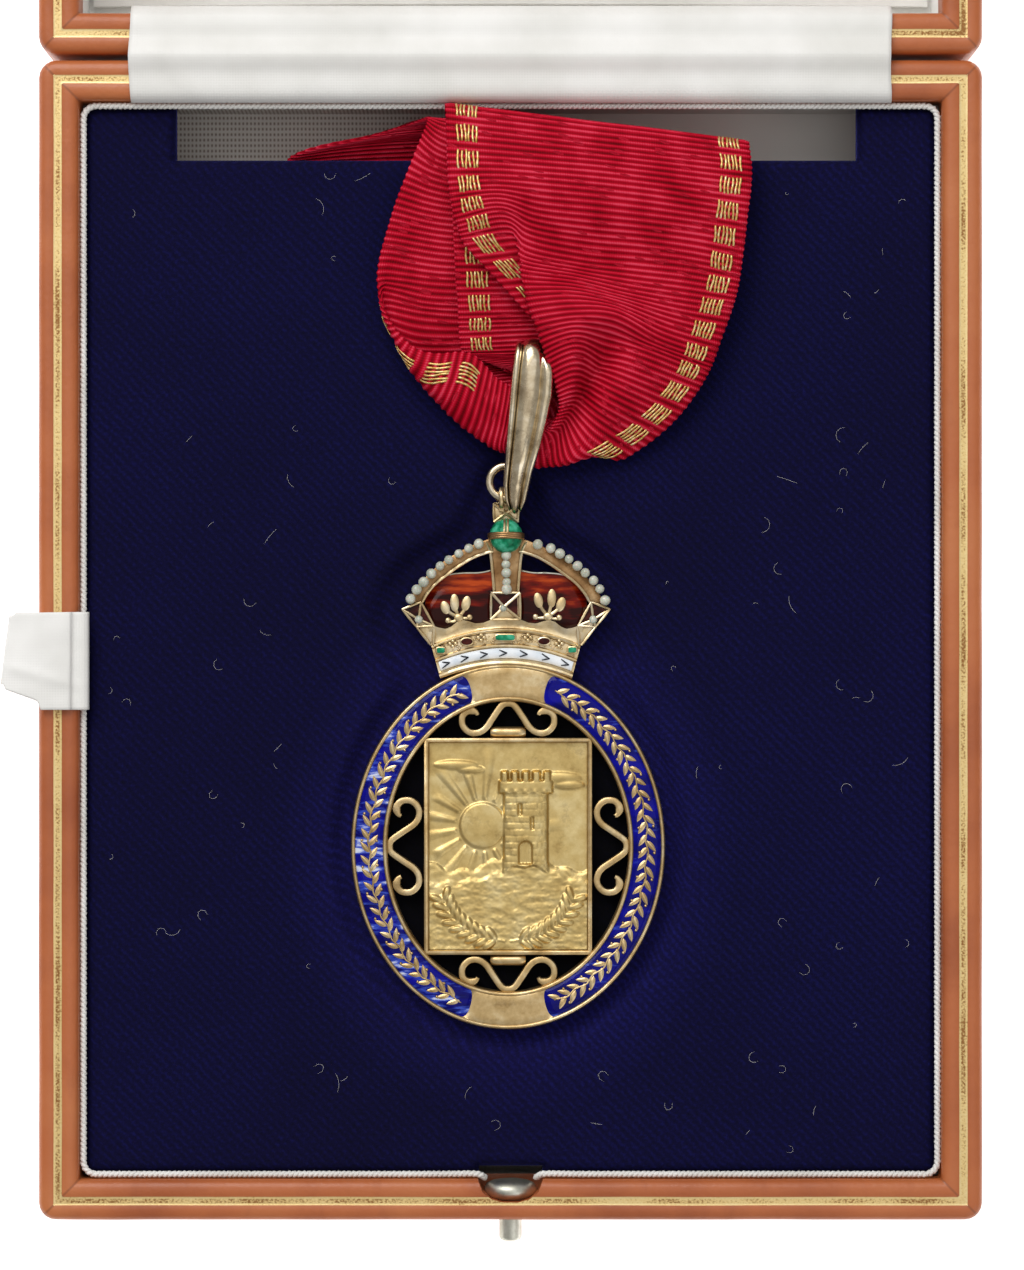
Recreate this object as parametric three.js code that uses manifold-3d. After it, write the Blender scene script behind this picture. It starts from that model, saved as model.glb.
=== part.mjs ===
// Order neck badge of gilt metal and enamel on its ribbon, lying in an open presentation case.
// Millimetres, +Z up. The origin is the centre of the underside of the case's base.
// The case lies open flat, with its lid on the +Y side of the base.
import * as THREE from "three";
import { mergeVertices } from "three/addons/utils/BufferGeometryUtils.js";
import Module from "manifold-3d";

const wasm = await Module();
wasm.setup();

// Driving dimensions of the case
const box = { width: 118, length: 145, height: 18, wall: 5.1, floor: 2, corner: 2.2, edge: 0.8 };
const hinge = { gap: 0.75, shutGap: 0.6, barrelRadius: 0.7, barrelLength: 12, barrelX: 30, play: 0.3 };
const pad = { top: 15.5, thickness: 3.6, sideGap: 0.5, bedDepth: 1.5, bedMargin: 0.7 };
const slot = { left: -42, right: 43.5, front: 60.2 };
const claspDisc = { radius: 3.3, depth: 2.4, face: -67.6, z: 14.3, stemRadius: 1.4, stemEnd: -75 };
const lining = { thickness: 3, sideGap: 0.6, lift: 0.3 };
const flap = { width: 95, thickness: 1, baseEnd: 67.5, lidDrop: 9 };
const tab = { width: 12.2, thickness: 1.2, y: -8.7, out: 63.4 };
const piping = { width: 0.9, lift: 0.3 };
const seatGap = 0.3;

// Driving dimensions of the badge
const badge = { x: -0.3, y: -25.83, lift: 0.3 };
const oval = { outerX: 19.68, outerY: 22.9, innerX: 15.08, innerY: 18.15, height: 2.5, edge: 0.35 };
const enamel = { outerRim: 0.45, innerRim: 0.55, depth: 0.9, gap: 0.12, endAngle: 15.5 };
const plaque = { width: 21.1, height: 27.2, border: 0.65, backing: 0.9, rim: 2.2, gap: 0.12, reliefBase: 1.0 };
const scroll = { curlX: 4.65, curlY: 1.72, curlRadius: 1.3, strip: 0.78, height: 1.5, lift: 0.5 };
const clip = { width: 4.4, depth: 1.36, height: 2 };
const crown = { x: -0.56, y: -4.54, metal: 2.3, cap: 1.3, gap: 0.12 };
const pearl = { radius: 0.62, seat: 0.35, perArch: 9, onCentre: 5 };
const ring = { x: -0.6, y: 19.75, z: 17.6, radius: 2.03, wire: 0.52 };
const bail = { width: 4.3, tipWidth: 1.9, strap: 0.8, topY: 37, tipY: 16.3, topX: 2.5, tipX: 0.45 };
const ribbon = { thickness: 1, acrossSteps: 10, alongSteps: 2, runZ: 9, returnZ: 5.4 };

// Heights that follow from those
const rimZ = box.height;
const backY = box.length / 2;
const innerX = box.width / 2 - box.wall;
const innerY = box.length / 2 - box.wall;
const hingeY = backY + hinge.gap / 2;
const hingeZ = rimZ + hinge.shutGap / 2;
const lidY = backY + hinge.gap + box.length / 2;
const badgeZ = pad.top - pad.bedDepth + badge.lift;

const material = (color, roughness, metalness) => new THREE.MeshStandardMaterial({ color, roughness, metalness });
const leather = material(0xac5f3a, 0.5, 0);
const velvet = material(0x10144f, 0.95, 0);
const satin = material(0xeeece6, 0.45, 0);
const gilt = material(0xc9a765, 0.3, 1);
const brass = material(0xa8a184, 0.4, 1);
const blueEnamel = material(0x1a22a8, 0.15, 0);
const redEnamel = material(0x8a1c0e, 0.15, 0);
const greenEnamel = material(0x2f9c74, 0.2, 0);
const whiteEnamel = material(0xe8ecf0, 0.2, 0);
const pearlWhite = material(0xc9cdbd, 0.3, 0);
const grosgrain = material(0xc01530, 0.75, 0);

const part = new THREE.Group();

// A closed geometry as a solid that can be joined and cut
function solidOf(geometry) {
  const bare = geometry.clone();
  bare.deleteAttribute("normal");
  bare.deleteAttribute("uv");
  const merged = mergeVertices(bare, 1e-4);
  return new wasm.Manifold(
    new wasm.Mesh({
      numProp: 3,
      vertProperties: new Float32Array(merged.attributes.position.array),
      triVerts: new Uint32Array(merged.index.array),
    }),
  );
}

function add(name, solid, finish, parent = part) {
  const made = solid.getMesh();
  const geometry = new THREE.BufferGeometry();
  geometry.setAttribute("position", new THREE.BufferAttribute(new Float32Array(made.vertProperties), 3));
  geometry.setIndex(new THREE.BufferAttribute(new Uint32Array(made.triVerts), 1));
  geometry.computeVertexNormals();
  const mesh = new THREE.Mesh(geometry, finish);
  mesh.name = name;
  parent.add(mesh);
  return mesh;
}

const joined = (solids) => solids.reduce((sum, solid) => sum.add(solid));

// A flat outline raised from low to high, with an optional rounded edge that stays inside those heights
function prism(shape, low, high, edge = 0, curveSegments = 8, bevelSegments = 1) {
  const geometry = new THREE.ExtrudeGeometry(shape, {
    depth: high - low - 2 * edge,
    bevelEnabled: edge > 0,
    bevelThickness: edge,
    bevelSize: edge,
    bevelOffset: -edge,
    bevelSegments,
    curveSegments,
  });
  return solidOf(geometry.translate(0, 0, low + edge));
}

function roundedRect(halfX, halfY, radius) {
  const shape = new THREE.Shape();
  shape.moveTo(-halfX + radius, -halfY);
  shape.lineTo(halfX - radius, -halfY);
  shape.absarc(halfX - radius, -halfY + radius, radius, -Math.PI / 2, 0);
  shape.lineTo(halfX, halfY - radius);
  shape.absarc(halfX - radius, halfY - radius, radius, 0, Math.PI / 2);
  shape.lineTo(-halfX + radius, halfY);
  shape.absarc(-halfX + radius, halfY - radius, radius, Math.PI / 2, Math.PI);
  shape.lineTo(-halfX, -halfY + radius);
  shape.absarc(-halfX + radius, -halfY + radius, radius, Math.PI, 1.5 * Math.PI);
  return shape;
}

function block(lowX, highX, lowY, highY, lowZ, highZ) {
  const geometry = new THREE.BoxGeometry(highX - lowX, highY - lowY, highZ - lowZ);
  return solidOf(geometry.translate((lowX + highX) / 2, (lowY + highY) / 2, (lowZ + highZ) / 2));
}

function barAlongX(radius, length, x, y, z, sides = 12) {
  const geometry = new THREE.CylinderGeometry(radius, radius, length, sides).rotateZ(Math.PI / 2);
  return solidOf(geometry.translate(x, y, z));
}

function ellipse(radiusX, radiusY, x = 0, y = 0, turn = 0) {
  const shape = new THREE.Shape();
  shape.absellipse(x, y, radiusX, radiusY, 0, 2 * Math.PI, false, turn);
  return shape;
}

const outline = (points) => new THREE.Shape(points.map(([x, y]) => new THREE.Vector2(x, y)));
const mirrored = (points) => points.map(([x, y]) => [-x, y]).reverse();

// A smooth line through a few points, as many points
function smooth(points, count) {
  const line = new THREE.SplineCurve(points.map(([x, y]) => new THREE.Vector2(x, y)));
  return line.getPoints(count).map((p) => [p.x, p.y]);
}

// A flat strip of one width along a line of points
function strip(points, width) {
  const sides = [1, -1].map((side) =>
    points.map(([x, y], i) => {
      const [ax, ay] = points[Math.max(i - 1, 0)];
      const [bx, by] = points[Math.min(i + 1, points.length - 1)];
      const along = Math.hypot(bx - ax, by - ay);
      return [x - (side * (by - ay) * width) / 2 / along, y + (side * (bx - ax) * width) / 2 / along];
    }),
  );
  return outline([...sides[1], ...sides[0].reverse()]);
}

// The case: two equal leather-covered trays that meet at their rims
function tray() {
  const wall = roundedRect(box.width / 2, box.length / 2, box.corner);
  wall.holes.push(roundedRect(innerX, innerY, 0.6));
  const floor = roundedRect(innerX + 1, innerY + 1, 1);
  return prism(wall, 0, rimZ, box.edge, 4, 2).add(prism(floor, 0, box.floor, 0, 2));
}

// Round notches in the back rims, concentric with the hinge axis
const barrelSides = [-1, 1];
const hingeNotches = joined(
  barrelSides.map((side) =>
    barAlongX(hinge.barrelRadius + hinge.play, hinge.barrelLength + 2 * hinge.play, side * hinge.barrelX, hingeY, hingeZ),
  ),
);

function claspPocket() {
  const mouth = claspDisc.radius + 1;
  const foot = claspDisc.radius - 0.6;
  const depth = claspDisc.depth + 0.7;
  const shape = outline([
    [-foot, claspDisc.face - depth],
    [foot, claspDisc.face - depth],
    [mouth, claspDisc.face + 1],
    [-mouth, claspDisc.face + 1],
  ]);
  const bore = new THREE.CylinderGeometry(claspDisc.stemRadius + seatGap, claspDisc.stemRadius + seatGap, 12, 16);
  return prism(shape, claspDisc.z - claspDisc.radius - seatGap, rimZ + 1).add(
    solidOf(bore.translate(0, claspDisc.face - claspDisc.depth - 4, claspDisc.z)),
  );
}

// A domed disc on a stem: the push catch that holds the lid
function clasp() {
  const { radius, depth, face, z, stemRadius, stemEnd } = claspDisc;
  const profile = [
    [0, 0],
    [radius, 0],
    [radius, 0.5],
    [radius * 0.8, depth * 0.65],
    [stemRadius, depth],
    [stemRadius, face - stemEnd - 0.4],
    [stemRadius - 0.4, face - stemEnd],
    [0, face - stemEnd],
  ];
  const geometry = new THREE.LatheGeometry(
    profile.map(([r, h]) => new THREE.Vector2(r, h)),
    16,
  );
  return solidOf(geometry.rotateX(Math.PI).translate(0, face, z));
}

const padUnder = pad.top - pad.thickness;

// The hollow bed that the badge lies in: an oval with a neck for the crown
function bedOutline(margin) {
  const neckHalf = 13.4 + margin;
  const neckTop = 22.6;
  const neck = outline([
    [badge.x - 9 - margin, badge.y + 15],
    [badge.x + 9 + margin, badge.y + 15],
    [badge.x + neckHalf, badge.y + 30],
    [badge.x + 5, badge.y + 15 + neckTop + 7.2],
    [badge.x - 5, badge.y + 15 + neckTop + 7.2],
    [badge.x - neckHalf, badge.y + 30],
  ]);
  return [ellipse(oval.outerX + margin, oval.outerY + margin, badge.x, badge.y), neck];
}

// Velvet-covered board with a slot at the back for the ribbon and a small notch for the clasp
function padBoard() {
  const halfX = innerX - pad.sideGap;
  const halfY = innerY - pad.sideGap;
  const board = prism(roundedRect(halfX, halfY, 1.5), padUnder, pad.top, 0.6, 3);
  const slotCut = prism(roundedRect((slot.right - slot.left) / 2, 10, 2), padUnder - 1, pad.top + 1, 0, 4).translate(
    (slot.left + slot.right) / 2,
    slot.front + 10,
    0,
  );
  const notch = block(-4, 4, -halfY - 1, claspDisc.face + 1.6, padUnder - 1, pad.top + 1);
  const bed = joined(
    bedOutline(pad.bedMargin).map((shape) => prism(shape, pad.top - pad.bedDepth, pad.top + 1, 0, 20)),
  );
  return board.subtract(slotCut).subtract(notch).subtract(bed);
}

// Ledges under the board's long sides carry it above the space for the ribbon
function ledges() {
  const reach = innerX - 3;
  return barrelSides.map((side) =>
    block(
      side > 0 ? reach : -innerX - 0.5,
      side > 0 ? innerX + 0.5 : -reach,
      -innerY + 6,
      innerY - 14,
      box.floor - 0.5,
      padUnder - seatGap,
    ),
  );
}

function pipingLoop() {
  const outerX = innerX - 0.1;
  const outerY = innerY - 0.1;
  const low = pad.top + piping.lift;
  const shape = roundedRect(outerX, outerY, 2);
  shape.holes.push(roundedRect(outerX - piping.width, outerY - piping.width, 1.1));
  const loop = prism(shape, low, low + piping.width, 0.2, 3);
  return loop.subtract(block(-3.5, 3.5, -innerY - 1, -innerY + 3, low - 1, low + 2));
}

// A thin wall that follows a line in the YZ plane, as wide as width along X
function bentSheet(line, thickness, width, x) {
  const shape = strip(line, thickness);
  const geometry = new THREE.ExtrudeGeometry(shape, { depth: width, bevelEnabled: false });
  geometry.rotateY(Math.PI / 2).rotateX(Math.PI / 2);
  return solidOf(geometry.translate(x - width / 2, 0, 0));
}

function hingeFlap() {
  const rest = rimZ + seatGap + flap.thickness / 2;
  const lidInner = backY + hinge.gap + box.wall;
  const line = smooth(
    [
      [flap.baseEnd, rest - 0.3],
      [flap.baseEnd + 2, rest],
      [hingeY - 2, rest + 0.2],
      [hingeY - 0.9, rest + 0.9],
      [hingeY + 0.9, rest + 0.9],
      [hingeY + 2, rest + 0.2],
      [lidInner - 1.2, rest],
      [lidInner + 0.9, rest - 1.2],
      [lidInner + 1.3, rest - 4],
      [lidInner + 1.3, rest - flap.lidDrop],
    ],
    26,
  );
  return bentSheet(line, flap.thickness, flap.width, 0);
}

// A folded satin pull that starts on the pad and hangs over the left rim
function liftTab() {
  const rest = rimZ + seatGap + tab.thickness / 2;
  const line = [
    [-innerX + 1.7, pad.top + piping.lift + piping.width + 0.9],
    [-innerX + 0.6, rest - 0.1],
    [-innerX - 1.5, rest + 0.3],
    [-box.width / 2 + 1, rest + 0.2],
    [-tab.out, rest - 0.9],
  ];
  const geometry = new THREE.ExtrudeGeometry(strip(smooth(line, 14), tab.thickness), {
    depth: tab.width,
    bevelEnabled: false,
  });
  return solidOf(geometry.rotateX(Math.PI / 2).translate(0, tab.y + tab.width, 0));
}

function buildCase() {
  const base = joined([tray(), ...ledges()]).subtract(claspPocket()).subtract(hingeNotches);
  add("case_base", base, leather);
  add("clasp", clasp(), brass);
  add("pad", padBoard(), velvet);
  add("pad_piping", pipingLoop(), satin);
  add("lift_tab", liftTab(), satin);
  barrelSides.forEach((side) => {
    const name = side < 0 ? "hinge_barrel_left" : "hinge_barrel_right";
    const x = side * hinge.barrelX;
    add(name, barAlongX(hinge.barrelRadius, hinge.barrelLength, x, hingeY, hingeZ), brass);
  });
  add("hinge_flap", hingeFlap(), satin);
  add("lid_shell", tray().translate(0, lidY, 0).subtract(hingeNotches), leather);
  const panel = roundedRect(innerX - lining.sideGap, innerY - 2.6, 3);
  const low = box.floor + lining.lift;
  add("lid_lining", prism(panel, low, low + lining.thickness, 1.2, 4).translate(0, lidY, 0), satin);
}

// The badge's oval frame, its scrolls and the surround of the plaque are soldered into one piece

// Part of an oval ring between two angles from the top, with ends cut square to the ring
function ringSector(outerX, outerY, inX, inY, fromDegrees, toDegrees, steps) {
  const at = (rx, ry, i) => {
    const angle = THREE.MathUtils.degToRad(fromDegrees + ((toDegrees - fromDegrees) * i) / steps);
    return [rx * Math.sin(angle), ry * Math.cos(angle)];
  };
  const indices = [...Array(steps + 1).keys()];
  const inner = indices.map((i) => at(inX, inY, i));
  const outer = indices.map((i) => at(outerX, outerY, i)).reverse();
  return outline([...inner, ...outer]);
}

function enamelBand(grow) {
  const { outerRim, innerRim, endAngle } = enamel;
  const trim = grow * 3;
  return ringSector(
    oval.outerX - outerRim + grow,
    oval.outerY - outerRim + grow,
    oval.innerX + innerRim - grow,
    oval.innerY + innerRim - grow,
    endAngle - trim,
    180 - endAngle + trim,
    26,
  );
}

// Half of a scroll, from its crest at u = 0 to the end of its curl; v is outwards from the plaque's side
function scrollHalf(crest) {
  const { curlX, curlY, curlRadius } = scroll;
  const curl = [];
  for (let degrees = 52; degrees >= -208; degrees -= 26) {
    const angle = THREE.MathUtils.degToRad(degrees - 102);
    const radius = degrees < -150 ? curlRadius * 0.86 : curlRadius;
    curl.push([-curlX + radius * Math.cos(angle), curlY + radius * Math.sin(angle)]);
  }
  return [[0, crest], [-0.55, crest - 0.12], [-1.15, crest - 0.55], ...curl];
}

function scrollStrip(crest) {
  const half = smooth(scrollHalf(crest), 22);
  return strip([...mirrored(half.slice(1)), ...half], scroll.strip);
}

function ovalFrame() {
  const band = ellipse(oval.outerX, oval.outerY);
  band.holes.push(ellipse(oval.innerX, oval.innerY));
  const hollow = enamelBand(0);
  const channels = [1, -1].map((side) => {
    const cut = prism(hollow, oval.height - enamel.depth, oval.height + 1, 0, 1);
    return side > 0 ? cut : cut.rotate([0, 0, 180]);
  });
  const ringBody = prism(band, 0, oval.height, oval.edge, 14).subtract(joined(channels));

  const halfX = plaque.width / 2;
  const halfY = plaque.height / 2;
  const surround = roundedRect(halfX, halfY, 0.2);
  const panel = roundedRect(halfX - plaque.border, halfY - plaque.border, 0.1);
  const plate = prism(surround, 0.2, plaque.rim, 0, 2).subtract(prism(panel, plaque.backing, 4, 0, 1));

  // Each scroll stands on one side of the plaque and its crest meets the oval
  const { lift, height } = scroll;
  const upright = prism(scrollStrip(oval.innerY - halfY - 0.25), lift, lift + height, 0, 1).translate(0, halfY, 0);
  const sideways = prism(scrollStrip(oval.innerX - halfX - 0.25), lift, lift + height, 0, 1)
    .rotate([0, 0, 90])
    .translate(-halfX, 0, 0);
  const bar = block(-clip.width / 2, clip.width / 2, halfY - 0.1, halfY + clip.depth, 0.4, clip.height);
  const pieces = [upright, sideways, bar].flatMap((piece) => [piece, piece.rotate([0, 0, 180])]);
  return joined([ringBody, plate, ...pieces]);
}

// A struck relief of a round tower on a hill, with a rising sun and two leafy sprays
function plaqueRelief() {
  const halfX = plaque.width / 2 - plaque.border - plaque.gap;
  const halfY = plaque.height / 2 - plaque.border - plaque.gap;
  const base = plaque.reliefBase;
  const level = (step) => base + 0.35 + step * 0.22;
  const panel = prism(roundedRect(halfX, halfY, 0.1), base, level(0), 0, 1);

  const sun = { y: 4.2, radius: 4.6, rays: 13, rayLength: 3.4 };
  const pieces = [prism(ellipse(sun.radius, sun.radius, 0, sun.y), base, level(1), 0, 8)];
  for (let i = 0; i < sun.rays; i++) {
    const angle = (Math.PI * i) / (sun.rays - 1);
    const reach = sun.radius + sun.rayLength * (i % 2 ? 0.6 : 1);
    const ray = outline([
      [sun.radius - 0.3, -0.42],
      [reach, 0],
      [sun.radius - 0.3, 0.42],
    ]);
    pieces.push(prism(ray, base, level(0.7)).rotate([0, 0, THREE.MathUtils.radToDeg(angle)]).translate(0, sun.y, 0));
  }

  const hill = [
    [-halfX, -halfY],
    [halfX, -halfY],
    ...smooth([[halfX, -6.4], [5.2, -4.6], [1.5, -3.2], [-3.4, -4.2], [-7, -6], [-halfX, -5.6]], 14),
  ];
  pieces.push(prism(outline(hill), base, level(1.4)));

  const tower = { half: 2.4, foot: -4.6, top: 6, merlon: 0.75 };
  pieces.push(block(-tower.half, tower.half, tower.foot, tower.top, base, level(3)));
  pieces.push(block(-tower.half - 0.6, tower.half + 0.6, tower.top, tower.top + 1.1, base, level(3.6)));
  for (const x of [-2.2, 0, 2.2]) {
    pieces.push(block(x - tower.merlon, x + tower.merlon, tower.top + 1, tower.top + 2.3, base, level(3.6)));
  }

  const spray = { radius: 7.2, y: -2.4, leaves: 8 };
  for (const side of [-1, 1]) {
    for (let i = 0; i < spray.leaves; i++) {
      const angle = THREE.MathUtils.degToRad(-80 + 17 * i);
      const x = side * spray.radius * Math.cos(angle);
      const y = spray.y + spray.radius * 1.25 * Math.sin(angle);
      const turn = side > 0 ? angle + 1.1 : Math.PI - angle - 1.1;
      pieces.push(prism(ellipse(1.25, 0.5, x, y, turn + (i % 2 ? 0.7 : -0.5) * side), base, level(2.2), 0, 3));
    }
  }
  return joined([panel, ...pieces]);
}

function buildBadge() {
  const group = new THREE.Group();
  group.position.set(badge.x, badge.y, badgeZ);
  part.add(group);
  add("oval_frame", ovalFrame(), gilt, group);
  add("plaque_relief", plaqueRelief(), gilt, group);
  const inlay = prism(enamelBand(-enamel.gap), oval.height - enamel.depth + enamel.gap, oval.height + 0.05, 0, 1);
  add("enamel_right", inlay, blueEnamel, group);
  add("enamel_left", inlay.rotate([0, 0, 180]), blueEnamel, group);
}

// The crown, drawn from its foot at y = 0; its left half is mirrored
const archOuter = [[-12.5, 9.1], [-11.5, 11.25], [-9.9, 13.1], [-8, 14.8], [-5.6, 16.1], [-3.4, 17.1], [-1.7, 17.6]];
const archInner = [[-1.5, 15.5], [-3.4, 15], [-5.6, 14], [-7.5, 12.7], [-9.1, 11.1], [-10.3, 9.2]];
const capLine = [[-10, 8.7], [-9.2, 10.7], [-7.6, 12.3], [-5.6, 12.9], [-3.4, 12.8], [-2, 12.4], [-2, 7.2], [-9.1, 7.2]];
const band = { half: 8.2, topHalf: 9.3, rise: 1.65, topRise: 2.1, height: 3.7 };

// A strip of the crown's band between two heights, arched upwards in the middle
function bandStrip(low, high, inset) {
  const edge = (height) => {
    const share = height / band.height;
    const half = THREE.MathUtils.lerp(band.half, band.topHalf, share) - inset;
    const rise = THREE.MathUtils.lerp(band.rise, band.topRise, share);
    return [...Array(13).keys()].map((i) => {
      const x = (i / 6 - 1) * half;
      return [x, height + rise * (1 - (x / half) ** 2)];
    });
  };
  return outline([...edge(low), ...edge(high).reverse()]);
}

function fleur(x, y) {
  const petals = [
    ellipse(0.5, 1.35, x, y + 1.9),
    ellipse(0.42, 1.1, x - 0.95, y + 1.35, 0.5),
    ellipse(0.42, 1.1, x + 0.95, y + 1.35, -0.5),
    ellipse(1.45, 0.36, x, y + 0.35),
    ellipse(0.55, 1.1, x, y - 0.3),
  ];
  return petals.map((petal) => prism(petal, 1.7, crown.metal + 0.35, 0, 4));
}

function crownMetal() {
  const { metal } = crown;
  const arch = outline([...smooth(archOuter, 12), ...smooth(archInner, 10)]);
  const archRight = outline([...mirrored([...smooth(archOuter, 12), ...smooth(archInner, 10)])]);
  const post = outline([[-1.6, 5], [1.6, 5], [2, 17.2], [-2, 17.2]]);
  const sideCross = [[-9.3, 3.6], [-8.6, 5.2], [-9.3, 6.6], [-10.6, 9.4], [-11.3, 8.6], [-13, 8.4], [-11, 5.6]];
  const shoulders = bandStrip(band.height - 0.2, band.height + 1.2, -0.1);
  const crossBlock = roundedRect(1.85, 1.8, 0.45);
  const ermineCut = prism(bandStrip(0.5, 1.75, 0.35), metal - 0.6, metal + 1);
  const body = joined([
    prism(bandStrip(0, band.height, 0), 0, metal),
    prism(shoulders, 0.2, metal + 0.1),
    prism(arch, 0.2, metal),
    prism(archRight, 0.2, metal),
    prism(post, 0.2, metal),
    prism(outline(sideCross), 0.2, metal + 0.2),
    prism(outline(mirrored(sideCross)), 0.2, metal + 0.2),
    prism(crossBlock, 1, metal + 0.6, 0.2).translate(0, 8.6, 0),
    prism(roundedRect(1.63, 1.5, 0.45), 0.2, 1.7, 0.2).translate(0, 20.2, 0),
    prism(ellipse(1.1, 1.1, 0, 18), 0.2, 1.2),
    ...fleur(-6, 7.4),
    ...fleur(6, 7.4),
  ]);

  // The eye on top of the cross, through which the jump ring passes
  const eye = { x: -1.15 - crown.x, y: 17.77 - crown.y, z: ring.z - badgeZ, half: 0.3, radius: 1.35, hole: 0.86 };
  const plate = barAlongX(eye.radius, eye.half * 2, eye.x, eye.y, eye.z).add(
    block(eye.x - eye.half, eye.x + eye.half, 20.4, eye.y, 0.6, eye.z + 0.8),
  );
  const hole = barAlongX(eye.hole, 2, eye.x, eye.y, eye.z);
  return body.subtract(ermineCut).add(plate).subtract(hole);
}

// Pearls in a row along a line, fused to the narrow strip that they are set in
function pearlRow(line, count, low) {
  const curve = new THREE.SplineCurve(line.map(([x, y]) => new THREE.Vector2(x, y)));
  const seat = prism(strip(curve.getPoints(9).map((p) => [p.x, p.y]), pearl.radius * 1.1), low, low + pearl.seat);
  const beads = curve.getSpacedPoints(count - 1).map((p) => {
    const ball = new THREE.SphereGeometry(pearl.radius, 10, 5).rotateX(Math.PI / 2);
    return solidOf(ball.translate(p.x, p.y, low + pearl.radius));
  });
  return joined([seat, ...beads]);
}

// A small stone with a flat table and eight facets
function bandStone(halfX, halfY, x, y, low) {
  const cut = new THREE.CylinderGeometry(0.7, 1, 0.4, 8, 1).rotateY(Math.PI / 8).rotateX(Math.PI / 2);
  return solidOf(cut.scale(halfX, halfY, 1).translate(x, y, low + 0.2));
}

function buildCrown() {
  const group = new THREE.Group();
  group.position.set(crown.x, crown.y, badgeZ);
  part.add(group);
  const { metal, cap, gap } = crown;
  add("crown", crownMetal(), gilt, group);
  add("cap_left", prism(outline(smooth(capLine.slice(0, 6), 10).concat(capLine.slice(6))), 0.3, cap), redEnamel, group);
  add(
    "cap_right",
    prism(outline(mirrored(smooth(capLine.slice(0, 6), 10).concat(capLine.slice(6)))), 0.3, cap),
    redEnamel,
    group,
  );
  add("ermine", prism(bandStrip(0.5 + gap, 1.75 - gap, 0.35 + gap), metal - 0.6 + gap, metal + 0.1), whiteEnamel, group);

  const onArch = metal + 0.2 + gap;
  const archLine = archOuter.slice(0, 6).map(([x, y]) => [x * 0.965, y - 0.55]);
  add("pearls_left", pearlRow(archLine, pearl.perArch, onArch), pearlWhite, group);
  add("pearls_right", pearlRow(mirrored(archLine), pearl.perArch, onArch), pearlWhite, group);
  add("pearls_centre", pearlRow([[0, 11.1], [0, 14.5]], pearl.onCentre, metal + gap), pearlWhite, group);

  const ball = new THREE.SphereGeometry(2.05, 16, 10).scale(1, 1.05, 1).translate(0, 17.5, 3.1);
  const behind = block(-4, 4, 12, 24, -5, metal + gap);
  const crossRoom = block(-1.75, 1.75, 18.55, 24, -1, 8);
  add("orb", solidOf(ball).subtract(behind).subtract(crossRoom), greenEnamel, group);

  const stones = [
    { x: -8.1, y: 3.45, halfX: 0.55, halfY: 0.4, finish: greenEnamel },
    { x: -4.8, y: 4.75, halfX: 0.8, halfY: 0.5, finish: redEnamel },
    { x: 0, y: 5.3, halfX: 1.3, halfY: 0.45, finish: greenEnamel },
    { x: 4.8, y: 4.75, halfX: 0.8, halfY: 0.5, finish: redEnamel },
    { x: 8.1, y: 3.45, halfX: 0.55, halfY: 0.4, finish: greenEnamel },
  ];
  stones.forEach(({ x, y, halfX, halfY, finish }, i) => {
    add(`band_stone_${i + 1}`, bandStone(halfX, halfY, x, y, metal + gap), finish, group);
  });
}

function jumpRing() {
  const geometry = new THREE.TorusGeometry(ring.radius, ring.wire, 6, 16);
  return solidOf(geometry.translate(ring.x, ring.y, ring.z));
}

// The bail is one fluted strap bent into a long loop, broad at the top and narrow where it holds the ring
function bailLoop() {
  const { width, tipWidth, strap, topY, tipY, topX, tipX } = bail;
  const line = [
    { y: tipY + 0.4, z: 17.6 },
    { y: tipY + 0.9, z: 18.6 },
    { y: tipY + 3, z: 19.1 },
    { y: 23, z: 20.7 },
    { y: 30, z: 21.3 },
    { y: topY - 2.2, z: 21.3 },
    { y: topY - 0.7, z: 20.5 },
    { y: topY - 0.4, z: 18.9 },
    { y: topY - 1, z: 17.3 },
    { y: topY - 2.6, z: 16.7 },
    { y: 26, z: 16.5 },
    { y: tipY + 3, z: 16.5 },
    { y: tipY + 0.9, z: 16.6 },
  ];
  const centre = line.reduce((sum, p) => ({ y: sum.y + p.y / line.length, z: sum.z + p.z / line.length }), { y: 0, z: 0 });
  // Across the strap: two grooves between three round ribs, as shares of the half width and of the thickness
  const section = [
    [-1, -0.5], [1, -0.5], [1, 0.25], [0.72, 0.5], [0.48, 0.12], [0.3, 0.42],
    [-0.3, 0.42], [-0.48, 0.12], [-0.72, 0.5], [-1, 0.25],
  ];
  const rings = line.map((p, i) => {
    const before = line[(i + line.length - 1) % line.length];
    const after = line[(i + 1) % line.length];
    const length = Math.hypot(after.y - before.y, after.z - before.z);
    let ny = (after.z - before.z) / length;
    let nz = -(after.y - before.y) / length;
    if (ny * (p.y - centre.y) + nz * (p.z - centre.z) < 0) [ny, nz] = [-ny, -nz];
    const share = (p.y - tipY) / (topY - tipY);
    const half = THREE.MathUtils.lerp(tipWidth, width, share) / 2;
    const x = THREE.MathUtils.lerp(tipX, topX, share);
    return section.map(
      ([u, t]) => new THREE.Vector3(x + u * half, p.y + ny * t * strap, p.z + nz * t * strap),
    );
  });
  return closedSweep(rings);
}

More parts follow.
